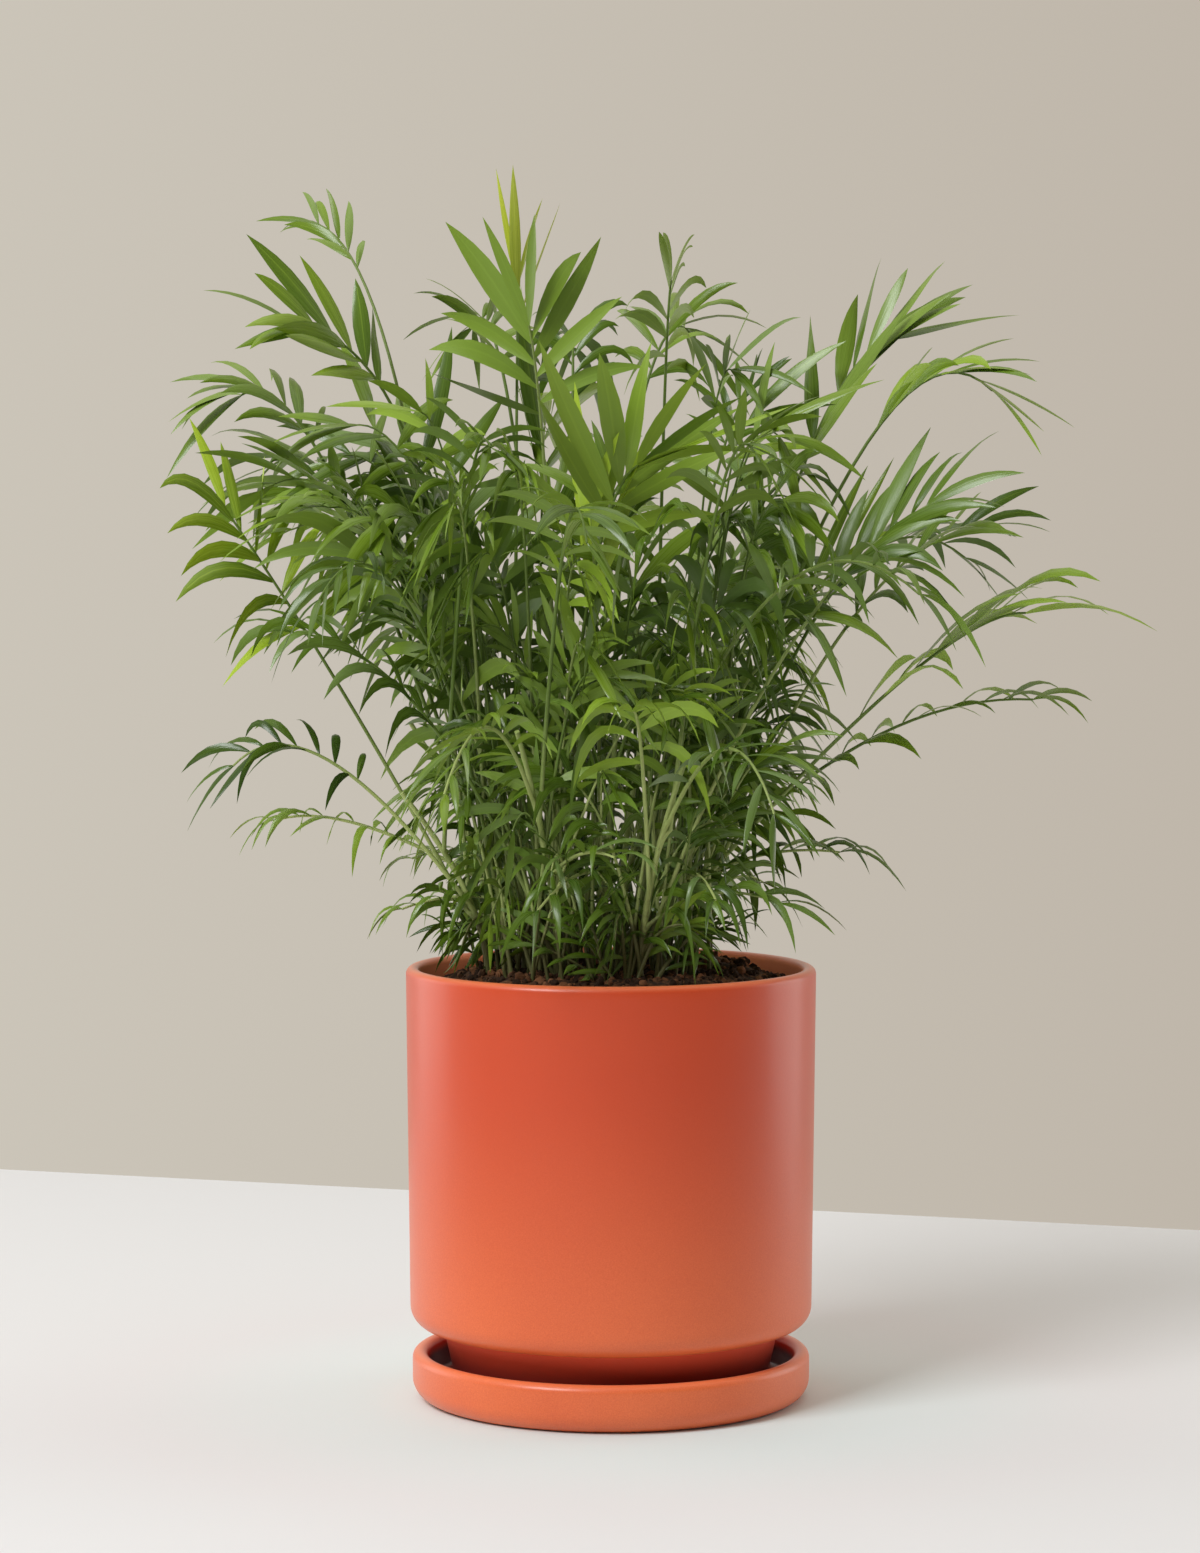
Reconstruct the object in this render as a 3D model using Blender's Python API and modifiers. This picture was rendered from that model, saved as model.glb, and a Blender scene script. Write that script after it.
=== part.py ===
"""Parlour palm: a clump of young plants in a round pot that stands on its saucer.

Run it with blender --background --python part.py, or from Blender's text editor.
Metres, +Z up. The origin is the centre of the saucer's flat underside, and -Y is the front.
"""

import math
import random
from collections import namedtuple

import bmesh
import bpy
from mathutils import Matrix, Vector
from mathutils.bvhtree import BVHTree

# Clearance between solids that rest on, or stand beside, each other
GAP = 0.0003
TURN_STEPS = 48

# Saucer
SAUCER_RADIUS = 0.1233
SAUCER_HEIGHT = 0.030
SAUCER_WALL = 0.0098
SAUCER_FLOOR = 0.008
SAUCER_EDGE_ROUND = 0.013

# Pot: a straight body over a narrower foot
POT_RADIUS = 0.127
POT_BASE_RADIUS = 0.1245
POT_WALL = 0.0088
POT_RIM_Z = 0.2683
POT_BODY_Z = 0.045
POT_CORNER_ROUND = 0.013
POT_FOOT_RADIUS = 0.1035
POT_FOOT_Z = SAUCER_FLOOR + GAP
POT_FLOOR = 0.010

# Potting mix, level where the stems stand and sloping to the wall
SOIL_TOP_Z = 0.2655
SOIL_EDGE_Z = 0.2595
SOIL_LEVEL_RADIUS = 0.092
SOIL_INSET = 0.0004

# Canes
CANE_COUNT = 13
ROOT_ZONE_RADIUS = 0.074
ROOT_ZONE_CENTRE = Vector((-0.010, 0.004, 0.0))
CANE_BASE_RADIUS = 0.0026
CANE_TOP_RADIUS = 0.0018
CANE_FLARE = 1.35
CANE_UPRIGHT = 0.05
CANE_HEIGHTS = (0.205, 0.120)
CANE_LEANS = (3.0, 27.0)
GOLDEN_ANGLE = 137.508

# Fronds
PETIOLE_RADIUS = 0.0014
RIB_TIP_RADIUS = 0.0007
PETIOLE_SEGMENTS = 5
LEAF_WIDTH = 0.16
LEAF_THICKNESS = 0.013
LEAF_LONG = 0.055
LEAST_SPREAD = 17.0
UNFOLDED = math.sin(math.radians(26))
ROOT_WIDTH = 0.0036
CANE_CHOICES = 4
LEAFLET_TRIES = 16
SEED = 11

# A frond's rib ends at (x, y, z). Its curve is drawn up towards a point at the height crest, which
# stands at the share lean of the way out. blade is the stretch of rib with leaflets, leaf the longest
# leaflet, turn the roll about the rib, spread the leaflets' angle to the rib and droop the share of
# its length that a leaflet's tip falls. Lengths are in millimetres and angles in degrees.
Frond = namedtuple("Frond", "name x y z crest lean blade leaf pairs turn spread droop")

SEEN_FRONDS = (
    Frond("top_fan", -50, -22, 662, 600, 0.3, 92, 100, 5, -12, 44, 0.05),
    Frond("spear", -58, 34, 690, 600, 0.5, 34, 86, 2, 60, 20, 0.0),
    Frond("left_far_high", -186, 95, 732, 704, 0.36, 96, 48, 5, -40, 34, 0.2),
    Frond("left_high", -190, -40, 661, 640, 0.47, 116, 74, 6, -58, 42, 0.05),
    Frond("left_upper_arch", -230, 36, 622, 654, 0.69, 130, 70, 7, -25, 42, 0.2),
    Frond("left_middle", -234, -45, 551, 448, 0.52, 96, 72, 7, -50, 56, 0.25),
    Frond("left_droop", -190, -70, 476, 470, 0.48, 140, 66, 8, -20, 40, 0.45),
    Frond("left_low_dark", -229, -50, 395, 442, 0.68, 110, 50, 8, -35, 48, 0.35),
    Frond("left_low_thin", -207, -10, 359, 374, 0.70, 105, 38, 6, -15, 40, 0.55),
    Frond("left_foot", -128, -28, 306, 330, 0.50, 84, 38, 7, -10, 48, 0.7),
    Frond("left_foot_back", -126, 66, 330, 350, 0.50, 80, 38, 6, 0, 48, 0.5),
    Frond("right_high", 173, 20, 656, 632, 0.45, 150, 84, 7, 40, 32, 0.1),
    Frond("right_second", 231, -36, 622, 694, 0.62, 175, 66, 8, 15, 36, 0.1),
    Frond("right_folded", 134, 24, 508, 450, 0.45, 34, 98, 2, 60, 22, 0.0),
    Frond("right_fan", 190, -58, 552, 505, 0.48, 110, 80, 6, 45, 34, 0.15),
    Frond("right_fan_low", 222, -10, 538, 530, 0.55, 140, 60, 7, 25, 40, 0.2),
    Frond("right_far_arch", 254, -18, 487, 490, 0.76, 180, 84, 7, 0, 34, 0.35),
    Frond("right_low_arch", 264, 34, 432, 438, 0.53, 200, 46, 10, 10, 44, 0.6),
    Frond("right_foot", 142, 10, 338, 348, 0.45, 88, 50, 6, 0, 40, 0.5),
    Frond("right_foot_front", 101, -66, 313, 330, 0.45, 80, 52, 6, 20, 44, 0.5),
    Frond("top_right", 38, 70, 695, 660, 0.5, 130, 60, 7, 10, 56, 0.35),
    Frond("back_right_high", 90, 118, 628, 600, 0.5, 90, 46, 5, 20, 40, 0.1),
    Frond("centre_light", 16, -92, 576, 560, 0.35, 100, 90, 6, 0, 46, 0.0),
    Frond("centre_left_light", -12, -60, 545, 500, 0.35, 80, 90, 4, -20, 30, 0.0),
    Frond("front_light", 12, -152, 432, 436, 0.45, 76, 52, 5, 0, 54, 0.2),
    Frond("front_low", 2, -128, 345, 352, 0.45, 74, 48, 5, 0, 50, 0.4),
    Frond("front_foot_left", -44, -116, 312, 338, 0.45, 74, 44, 5, 0, 50, 0.6),
    Frond("front_foot_right", 62, -104, 318, 340, 0.45, 74, 44, 5, 0, 50, 0.6),
)

# The rest close the crown at the back and front: (name, count, first and last azimuth, reach,
# height, crest, blade, leaf, pairs)
FILL_ARCS = (
    ("back_high", 3, 70, 128, 150, 640, 690, 140, 64, 6),
    ("back_middle", 3, 30, 150, 250, 545, 610, 165, 62, 7),
    ("back_low", 3, 58, 122, 245, 425, 500, 150, 54, 7),
    ("front_high", 2, 236, 304, 150, 600, 640, 130, 60, 6),
    ("front_middle", 3, 222, 318, 240, 510, 590, 155, 60, 7),
    ("front_low", 2, 250, 290, 240, 395, 470, 135, 52, 7),
)


def direction(azimuth):
    """The level unit vector at this azimuth: 0 is +X and 90 is +Y, the back."""
    angle = math.radians(azimuth)
    return Vector((math.cos(angle), math.sin(angle), 0.0))


def arc(centre, radius, start, end, steps):
    """Points on an arc in a turned profile's plane, at angles in degrees from outward to up."""
    angles = (math.radians(start + (end - start) * i / steps) for i in range(steps + 1))
    return [(centre[0] + radius * math.cos(a), centre[1] + radius * math.sin(a)) for a in angles]


def finish(name, red, green, blue, roughness):
    """A plain Principled material in linear colour."""
    material = bpy.data.materials.new(name)
    material.use_nodes = True
    shader = material.node_tree.nodes["Principled BSDF"]
    shader.inputs["Base Color"].default_value = (red, green, blue, 1.0)
    shader.inputs["Roughness"].default_value = roughness
    return material


def clear_scene():
    for obj in list(bpy.data.objects):
        bpy.data.objects.remove(obj)


def new_object(name, data, material, collection):
    obj = bpy.data.objects.new(name, data)
    data.materials.append(material)
    collection.objects.link(obj)
    return obj


def turned(name, profile, material, collection):
    """A solid of revolution about Z. Its profile ends on the axis and runs down its outer side."""
    mesh = bpy.data.meshes.new(name)
    bm = bmesh.new()
    points = [bm.verts.new((radius, 0.0, height)) for radius, height in profile]
    for first, second in zip(points, points[1:]):
        bm.edges.new((first, second))
    bm.to_mesh(mesh)
    bm.free()
    obj = new_object(name, mesh, material, collection)
    screw = obj.modifiers.new("turn", "SCREW")
    screw.steps = TURN_STEPS
    screw.render_steps = TURN_STEPS
    screw.use_merge_vertices = True
    screw.merge_threshold = 0.00005
    return obj


def cavity(inset, top_z):
    """The pot's inside from the axis at its floor to its wall at top_z, drawn in by inset."""
    floor_z = POT_FOOT_Z + POT_FLOOR + inset
    foot_inside = POT_FOOT_RADIUS - POT_WALL - inset
    shoulder_z = POT_BODY_Z + POT_WALL + inset
    wall_low = POT_BASE_RADIUS - POT_WALL - inset
    wall_top = POT_RADIUS - POT_WALL - inset
    return [
        (0.0, floor_z),
        (foot_inside - 0.006, floor_z),
        (foot_inside, floor_z + 0.006),
        (foot_inside, shoulder_z - 0.002),
        (foot_inside + 0.003, shoulder_z),
        (wall_low - 0.008, shoulder_z + 0.002),
        (wall_low, shoulder_z + 0.012),
        (wall_top, top_z),
    ]


def make_saucer(material, collection):
    """A shallow dish with a rounded rim, on a flat underside."""
    half_wall = SAUCER_WALL / 2
    inside = SAUCER_RADIUS - SAUCER_WALL
    lip = arc((SAUCER_RADIUS - half_wall, SAUCER_HEIGHT - half_wall), half_wall, 180, 0, 5)
    under = arc(
        (SAUCER_RADIUS - SAUCER_EDGE_ROUND, SAUCER_EDGE_ROUND), SAUCER_EDGE_ROUND, 0, -90, 4
    )
    profile = [(0.0, SAUCER_FLOOR), (inside - 0.006, SAUCER_FLOOR)]
    profile += [(inside - 0.0015, SAUCER_FLOOR + 0.003), *lip, *under, (0.0, 0.0)]
    return turned("saucer", profile, material, collection)


def make_pot(material, collection):
    half_wall = POT_WALL / 2
    lip_z = POT_RIM_Z - half_wall
    lip = arc((POT_RADIUS - half_wall, lip_z), half_wall, 180, 0, 6)
    corner = arc(
        (POT_BASE_RADIUS - POT_CORNER_ROUND, POT_BODY_Z + POT_CORNER_ROUND),
        POT_CORNER_ROUND,
        0,
        -90,
        4,
    )
    foot = [
        (POT_FOOT_RADIUS + 0.002, POT_BODY_Z),
        (POT_FOOT_RADIUS, POT_BODY_Z - 0.002),
        (POT_FOOT_RADIUS, POT_FOOT_Z + 0.002),
        (POT_FOOT_RADIUS - 0.002, POT_FOOT_Z),
        (0.0, POT_FOOT_Z),
    ]
    profile = cavity(0.0, lip_z)[:-1] + lip + corner + foot
    return turned("pot", profile, material, collection)


def make_soil(material, collection):
    inside = cavity(SOIL_INSET, SOIL_EDGE_Z)
    top = [(SOIL_LEVEL_RADIUS, SOIL_TOP_Z), (0.0, SOIL_TOP_Z)]
    profile = list(reversed(inside + top))
    return turned("soil", profile, material, collection)


class Cane:
    """One stem of the clump: upright where it leaves the soil, then leaning out."""

    def __init__(self, index):
        rng = random.Random(SEED * 100 + index)
        out = math.sqrt((index + 0.5) / CANE_COUNT)
        azimuth = index * GOLDEN_ANGLE + rng.uniform(-12, 12)
        self.outward = direction(azimuth)
        self.foot = ROOT_ZONE_CENTRE + self.outward * (ROOT_ZONE_RADIUS * out)
        self.foot.z = SOIL_TOP_Z + GAP
        inner, outer = CANE_HEIGHTS
        self.height = (inner + (outer - inner) * out) * rng.uniform(0.85, 1.15)
        lean = math.radians(CANE_LEANS[0] + (CANE_LEANS[1] - CANE_LEANS[0]) * out)
        self.sway = self.outward * (self.height * math.tan(lean))
        self.fronds = 0

    def at(self, share):
        """The centre line at this share of the height, upright over the first of it."""
        swayed = max(0.0, share - CANE_UPRIGHT) / (1 - CANE_UPRIGHT)
        return self.foot + Vector((0, 0, self.height * share)) + self.sway * swayed**1.6

    def radius(self, share):
        return CANE_BASE_RADIUS + (CANE_TOP_RADIUS - CANE_BASE_RADIUS) * share


def make_cane(cane, number, material, collection):
    curve = bpy.data.curves.new(f"cane_{number:02d}", "CURVE")
    curve.dimensions = "3D"
    curve.bevel_depth = 1.0
    curve.bevel_resolution = 1
    curve.use_fill_caps = True
    shares = (0.0, CANE_UPRIGHT, 0.25, 0.5, 0.75, 1.0)
    spline = curve.splines.new("POLY")
    spline.points.add(len(shares) - 1)
    for point, share in zip(spline.points, shares):
        point.co = (*cane.at(share), 1.0)
        point.radius = cane.radius(share) * (CANE_FLARE if share == 0.0 else 1.0)
    return new_object(curve.name, curve, material, collection)


class Rib:
    """A frond's petiole and midrib: one arch from beside its cane to the tip."""

    def __init__(self, frond, cane, height_share, shift):
        tip = Vector((frond.x, frond.y, frond.z)) / 1000
        root = cane.at(height_share)
        away = Vector((tip.x - root.x, tip.y - root.y, 0.0))
        away = Matrix.Rotation(math.radians(shift), 3, "Z") @ away.normalized()
        clear = cane.radius(height_share) + PETIOLE_RADIUS + 2 * GAP
        self.start = root + away * clear
        self.end = tip
        level = Vector((tip.x - self.start.x, tip.y - self.start.y, 0.0))
        self.bend = self.start + level * frond.lean
        self.bend.z = frond.crest / 1000
        self.side = Vector((-level.y, level.x, 0.0)).normalized()
        self.turn = frond.turn
        samples = [self.point(i / 40) for i in range(41)]
        self.length = sum((b - a).length for a, b in zip(samples, samples[1:]))

    def point(self, t):
        return (
            self.start * (1 - t) ** 2 + self.bend * 2 * t * (1 - t) + self.end * t**2
        )

    def frame(self, t):
        """(along, across, up) at t. Up is the side that faces the sky, rolled by the turn."""
        along = (self.bend - self.start) * (1 - t) + (self.end - self.bend) * t
        along.normalize()
        across = (self.side - along * self.side.dot(along)).normalized()
        roll = Matrix.Rotation(math.radians(self.turn), 3, along)
        across = roll @ across
        return along, across, along.cross(across)

    def radius(self, t):
        return PETIOLE_RADIUS + (RIB_TIP_RADIUS - PETIOLE_RADIUS) * t

    def ring(self, t):
        """The three corners of the rib's section: two on its upper side and one below."""
        along, across, up = self.frame(t)
        radius = self.radius(t)
        middle = self.point(t)
        return [
            middle + across * radius * 0.87 + up * radius * 0.5,
            middle - across * radius * 0.87 + up * radius * 0.5,
            middle - up * radius,
        ]


def box_section(centre, wide, thick):
    """A leaflet's four corners. Wide points towards the rib's tip and thick to its upper side."""
    return [
        centre - wide + thick,
        centre + wide + thick,
        centre + wide - thick,
        centre - wide - thick,
    ]


def leaflet_sections(rib, frond, t, share, side, attempt):
    """The leaflet's sections from its root beside the rib to near its tip, and that tip.

    share runs from 0 at the blade's foot to 1 at its end. side is 1 or -1. Each attempt strays
    further from the rule, to find a way past what the leaflet would touch.
    """
    rng = random.Random(f"{SEED} {frond.name} {share:.2f} {side} {attempt}")
    along, across, up = rib.frame(t)
    # Longest past the middle of the blade, and shorter towards both ends
    size = 0.74 + 0.26 * math.sin(math.pi * (0.15 + 0.6 * share))
    length = frond.leaf / 1000 * size * rng.uniform(0.93, 1.05)
    stray = 4 + attempt
    angle = frond.spread * (1.12 - 0.52 * share) + rng.uniform(-stray, stray)
    angle = math.radians(max(angle, LEAST_SPREAD))
    lift = rng.uniform(0.02, 0.14 + 0.02 * attempt)
    outward = along * math.cos(angle) + across * side * math.sin(angle) + up * lift
    outward.normalize()
    droop = frond.droop * rng.uniform(0.75, 1.2)
    root = rib.point(t) + across * side * rib.radius(t) * 0.6

    def midrib(stop):
        return (
            root
            + outward * (length * stop * (1 - 0.3 * droop * stop))
            - Vector((0, 0, droop * length * stop**2))
        )

    # A leaflet that lies close to the rib is folded narrow
    half_width = length * LEAF_WIDTH / 2 * min(1.0, math.sin(angle) / UNFOLDED)
    half_thick = max(length * LEAF_THICKNESS / 2, 0.0004)
    long_leaf = frond.leaf / 1000 > LEAF_LONG
    stops = ((0.34, 1.0), (0.70, 0.72)) if long_leaf else ((0.42, 1.0),)
    sections = [box_section(root, along * ROOT_WIDTH / 2, up * rib.radius(t) * 0.6)]
    for stop, width in stops:
        centre = midrib(stop)
        run = (midrib(stop + 0.05) - centre).normalized()
        wide = up.cross(run).normalized() * -side
        thick = wide.cross(run).normalized() * side
        sections.append(box_section(centre, wide * half_width * width, thick * half_thick))
    return sections, midrib(1.0)


def middle(ring):
    return sum(ring, Vector()) / len(ring)


def tube_tree(rings, tip=None):
    """A tree for overlap tests: a tube through the rings, capped flat or brought to the tip."""
    points = [corner for ring in rings for corner in ring]
    points += [middle(rings[0]), tip or middle(rings[-1])]
    sides = len(rings[0])
    faces = []
    for i in range(len(rings) - 1):
        for j in range(sides):
            k = (j + 1) % sides
            faces.append((i * sides + j, i * sides + k, (i + 1) * sides + k, (i + 1) * sides + j))
    last = (len(rings) - 1) * sides
    for j in range(sides):
        k = (j + 1) % sides
        faces.append((last + j, last + k, len(points) - 1))
        faces.append((j, k, len(points) - 2))
    return BVHTree.FromPolygons(points, faces)


def swollen(ring, margin):
    """A section with each corner moved out from its middle by the margin on both of its axes."""
    if len(ring) == 3:
        return [p + (p - middle(ring)).normalized() * margin for p in ring]
    wide = (ring[1] - ring[0]).normalized() * margin
    thick = (ring[0] - ring[3]).normalized() * margin
    return [ring[0] - wide + thick, ring[1] + wide + thick,
            ring[2] + wide - thick, ring[3] - wide - thick]


def touches(tree, others):
    return any(tree.overlap(other) for other in others)


def rib_stations(frond, rib):
    """Where the rib has rings, as shares of its arch, and which spans carry a pair of leaflets."""
    blade_share = min(0.85, frond.blade / 1000 / rib.length)
    start = 1 - blade_share
    stations = [start * i / PETIOLE_SEGMENTS for i in range(PETIOLE_SEGMENTS)]
    spans = []
    root = ROOT_WIDTH / rib.length
    for k in range(frond.pairs):
        low = start + (blade_share - root) * k / (frond.pairs - 1)
        spans.append((len(stations), low + root / 2, k / (frond.pairs - 1)))
        stations += [low, low + root]
    stations[-1] = 1.0
    return stations, spans


def extrude_to(bm, face, before, after):
    """Extrudes a face whose corners are at before, moves the new one's to after and returns it."""
    new_face = bmesh.ops.extrude_discrete_faces(bm, faces=[face])["faces"][0]
    for vert in new_face.verts:
        role = min(range(len(before)), key=lambda i, v=vert: (v.co - before[i]).length)
        vert.co = after[role]
    return new_face


def walls_under(face):
    return {wall for vert in face.verts for wall in vert.link_faces if wall is not face}


def make_frond(frond, rib, leaflets, stations, material, collection):
    """Extrudes the rib's section along its arch, then the leaflets from its sides."""
    bm = bmesh.new()
    rings = [rib.ring(t) for t in stations]
    foot = [bm.verts.new(corner) for corner in rings[0]]
    face = bm.faces.new(foot)
    walls = []
    for low, high in zip(rings, rings[1:]):
        face = extrude_to(bm, face, low, high)
        walls.append(walls_under(face))
    bm.faces.new(foot)
    for station, side, sections, tip in leaflets:
        low, high = rings[station], rings[station + 1]
        upper = 0 if side > 0 else 1
        corners = [low[upper], high[upper], high[2], low[2]]
        wall = min(
            (f for f in walls[station] if f.is_valid),
            key=lambda f, centre=middle(corners): (f.calc_center_median() - centre).length,
        )
        for section in sections[1:]:
            wall = extrude_to(bm, wall, corners, section)
            corners = section
        wall = bmesh.ops.extrude_discrete_faces(bm, faces=[wall])["faces"][0]
        bmesh.ops.pointmerge(bm, verts=list(wall.verts), merge_co=tip)
    bmesh.ops.recalc_face_normals(bm, faces=bm.faces)
    if bm.calc_volume(signed=True) < 0:
        bmesh.ops.reverse_faces(bm, faces=bm.faces)
    mesh = bpy.data.meshes.new(frond.name)
    bm.to_mesh(mesh)
    bm.free()
    return new_object(f"frond_{frond.name}", mesh, material, collection)


def fill_fronds():
    """The fronds of the arcs, named by arc and place, each a little off its arc's sizes."""
    rng = random.Random(SEED)
    found = []
    for name, count, first, last, reach, height, crest, blade, leaf, pairs in FILL_ARCS:
        for i in range(count):
            azimuth = first + (last - first) * i / (count - 1) + rng.uniform(-6, 6)
            size = rng.uniform(0.9, 1.08)
            out = direction(azimuth) * (reach * size)
            rise = rng.uniform(-28, 28)
            found.append(
                Frond(f"{name}_{i + 1}", out.x, out.y, height + rise, crest + rise,
                      rng.uniform(0.46, 0.62), blade * size, leaf * size, pairs,
                      rng.uniform(-25, 25), rng.uniform(40, 52), rng.uniform(0.15, 0.45))
            )
    return found


def ranked_canes(frond, canes):
    """The canes from the best to the worst for a frond: far out on its side, and not crowded."""
    reach = Vector((frond.x, frond.y, 0.0))
    pull = min(1.0, reach.length / 160)

    def cost(cane):
        off = cane.foot - ROOT_ZONE_CENTRE
        outward = off.dot(reach.normalized())
        return cane.fronds * 0.022 - outward * pull + off.xy.length * (1 - pull)

    return sorted(canes, key=cost)


def clear_rib(frond, canes, taken):
    """The first rib that touches nothing, over the best canes, starting heights and sides."""
    for cane in ranked_canes(frond, canes)[:CANE_CHOICES]:
        low = 0.10 + 0.16 * cane.fronds + 0.25 * max(0.0, (frond.z - 450) / 300)
        for raised in (0.0, 0.06, 0.14):
            for shift in (0, 12, -12, 28, -28, 50, -50):
                rib = Rib(frond, cane, min(0.95, low + raised), shift)
                stations, spans = rib_stations(frond, rib)
                rings = [swollen(rib.ring(t), GAP) for t in stations]
                if not touches(tube_tree(rings), taken):
                    cane.fronds += 1
                    return rib, stations, spans, rings
    print("no clear way for", frond.name)
    return None


def place_frond(frond, canes, taken):
    """Finds a clear way for the rib, then keeps each leaflet that touches nothing."""
    found = clear_rib(frond, canes, taken)
    if not found:
        return None
    rib, stations, spans, rings = found
    rib_tree = tube_tree(rings)
    leaflets, trees = [], []
    for station, t, share in spans:
        beside = [tube_tree(part) for part in (rings[:station], rings[station + 2 :]) if len(part) > 1]
        for side in (1, -1):
            for attempt in range(LEAFLET_TRIES):
                sections, tip = leaflet_sections(rib, frond, t, share, side, attempt)
                guard = [swollen(s, GAP) for s in sections]
                tree = tube_tree(guard, tip)
                blade = tube_tree(guard[1:], tip)
                if not touches(tree, taken + trees + beside) and not touches(blade, [rib_tree]):
                    leaflets.append((station, side, sections, tip))
                    trees.append(tree)
                    break
    taken += [rib_tree, *trees]
    return rib, leaflets, stations


def evaluated_tree(obj):
    return BVHTree.FromObject(obj, bpy.context.evaluated_depsgraph_get())


def main():
    clear_scene()
    collection = bpy.data.collections.new("parlour_palm")
    bpy.context.scene.collection.children.link(collection)
    clay = finish("matt_orange_glaze", 0.72, 0.115, 0.045, 0.45)
    mix = finish("potting_mix", 0.035, 0.018, 0.010, 0.95)
    stem_green = finish("cane_green", 0.17, 0.25, 0.06, 0.5)
    leaf_green = finish("leaf_green", 0.06, 0.16, 0.018, 0.42)
    make_saucer(clay, collection)
    solids = [make_pot(clay, collection), make_soil(mix, collection)]
    canes = [Cane(i) for i in range(CANE_COUNT)]
    solids += [make_cane(c, n, stem_green, collection) for n, c in enumerate(canes, 1)]
    bpy.context.view_layer.update()
    taken = [evaluated_tree(obj) for obj in solids]
    for frond in (*SEEN_FRONDS, *fill_fronds()):
        placed = place_frond(frond, canes, taken)
        if placed:
            rib, leaflets, stations = placed
            make_frond(frond, rib, leaflets, stations, leaf_green, collection)
            lost = frond.pairs * 2 - len(leaflets)
            if lost:
                print(frond.name, "lost", lost, "leaflets")


main()
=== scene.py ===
# %% [markdown]
# # A parlour palm in an orange pot
#
# A clump of young palms stands in a straight round pot on a deep saucer. This lesson dresses its
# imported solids: pot, saucer and soil are modelled again by hand, and the canes and fronds are grown
# again by the rule that made the solids, with finer leaflets, and with young fronds between them.
# Everything is in metres, +Z is up, the front faces -Y and the saucer stands on z = 0.

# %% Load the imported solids
import math
import random
from collections import namedtuple

import bmesh
import bpy
from mathutils import Matrix, Vector, noise
from mathutils.kdtree import KDTree


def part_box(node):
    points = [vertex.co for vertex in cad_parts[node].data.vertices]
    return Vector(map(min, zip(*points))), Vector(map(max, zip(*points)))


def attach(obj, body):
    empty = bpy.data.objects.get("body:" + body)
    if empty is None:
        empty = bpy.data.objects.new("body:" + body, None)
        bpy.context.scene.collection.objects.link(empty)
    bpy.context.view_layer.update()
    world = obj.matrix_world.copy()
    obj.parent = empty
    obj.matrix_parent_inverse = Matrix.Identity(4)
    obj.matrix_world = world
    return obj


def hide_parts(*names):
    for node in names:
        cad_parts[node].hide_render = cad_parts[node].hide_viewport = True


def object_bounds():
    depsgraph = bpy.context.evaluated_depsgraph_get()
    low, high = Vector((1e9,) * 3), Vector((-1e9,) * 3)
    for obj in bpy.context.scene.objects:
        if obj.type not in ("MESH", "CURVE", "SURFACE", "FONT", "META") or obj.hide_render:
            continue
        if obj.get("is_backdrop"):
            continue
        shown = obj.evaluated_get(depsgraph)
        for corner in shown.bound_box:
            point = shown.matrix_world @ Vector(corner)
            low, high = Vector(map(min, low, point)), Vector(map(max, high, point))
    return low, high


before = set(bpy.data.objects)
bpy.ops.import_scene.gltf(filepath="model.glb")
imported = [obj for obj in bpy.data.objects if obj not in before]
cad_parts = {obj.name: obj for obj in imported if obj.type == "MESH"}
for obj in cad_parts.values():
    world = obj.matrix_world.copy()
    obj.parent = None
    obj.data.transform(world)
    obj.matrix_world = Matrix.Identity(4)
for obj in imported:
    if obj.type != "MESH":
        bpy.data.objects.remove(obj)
cad_box = [list(corner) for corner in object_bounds()]
print("packed box", [[round(value, 4) for value in corner] for corner in cad_box])

# %% [markdown]
# ## The camera
#
# The photograph looks at the plant from the front with a long lens, a little above the middle and
# tipped slightly down. The lens is worked out from the focal length in the photograph's pixels.

# %% Place the camera
PHOTO_HEIGHT = 1553
FOCAL_PIXELS = 4198
SENSOR_WIDTH = 36.0
CAMERA_PLACE = (-0.0068, -2.590, 0.5305)
CAMERA_TIP = 3.2

lens = bpy.data.cameras.new("photo_lens")
lens.sensor_width = SENSOR_WIDTH
lens.lens = SENSOR_WIDTH * FOCAL_PIXELS / PHOTO_HEIGHT
camera = bpy.data.objects.new("photo_camera", lens)
camera.location = CAMERA_PLACE
camera.rotation_euler = (math.radians(90 - CAMERA_TIP), 0.0, 0.0)
bpy.context.collection.objects.link(camera)
bpy.context.scene.camera = camera
print("lens", round(lens.lens, 1), "mm")

# %% [markdown]
# ## Writing finishes as sums
#
# A finish is a tree of nodes round one shader, and three small classes keep it readable. A `Value`
# is the output of a node, and arithmetic on it adds Math nodes. A `Tree` makes every other node
# through one method, and a `Finish` is the tree of a material.

# %% Wrap sockets and node trees
def operator(operation, swapped=False):
    """A method of Value that adds a Math node."""

    def method(self, other=0.0):
        first, second = (other, self) if swapped else (self, other)
        return self.tree.node("ShaderNodeMath", {"operation": operation}, {0: first, 1: second})

    return method


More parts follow.
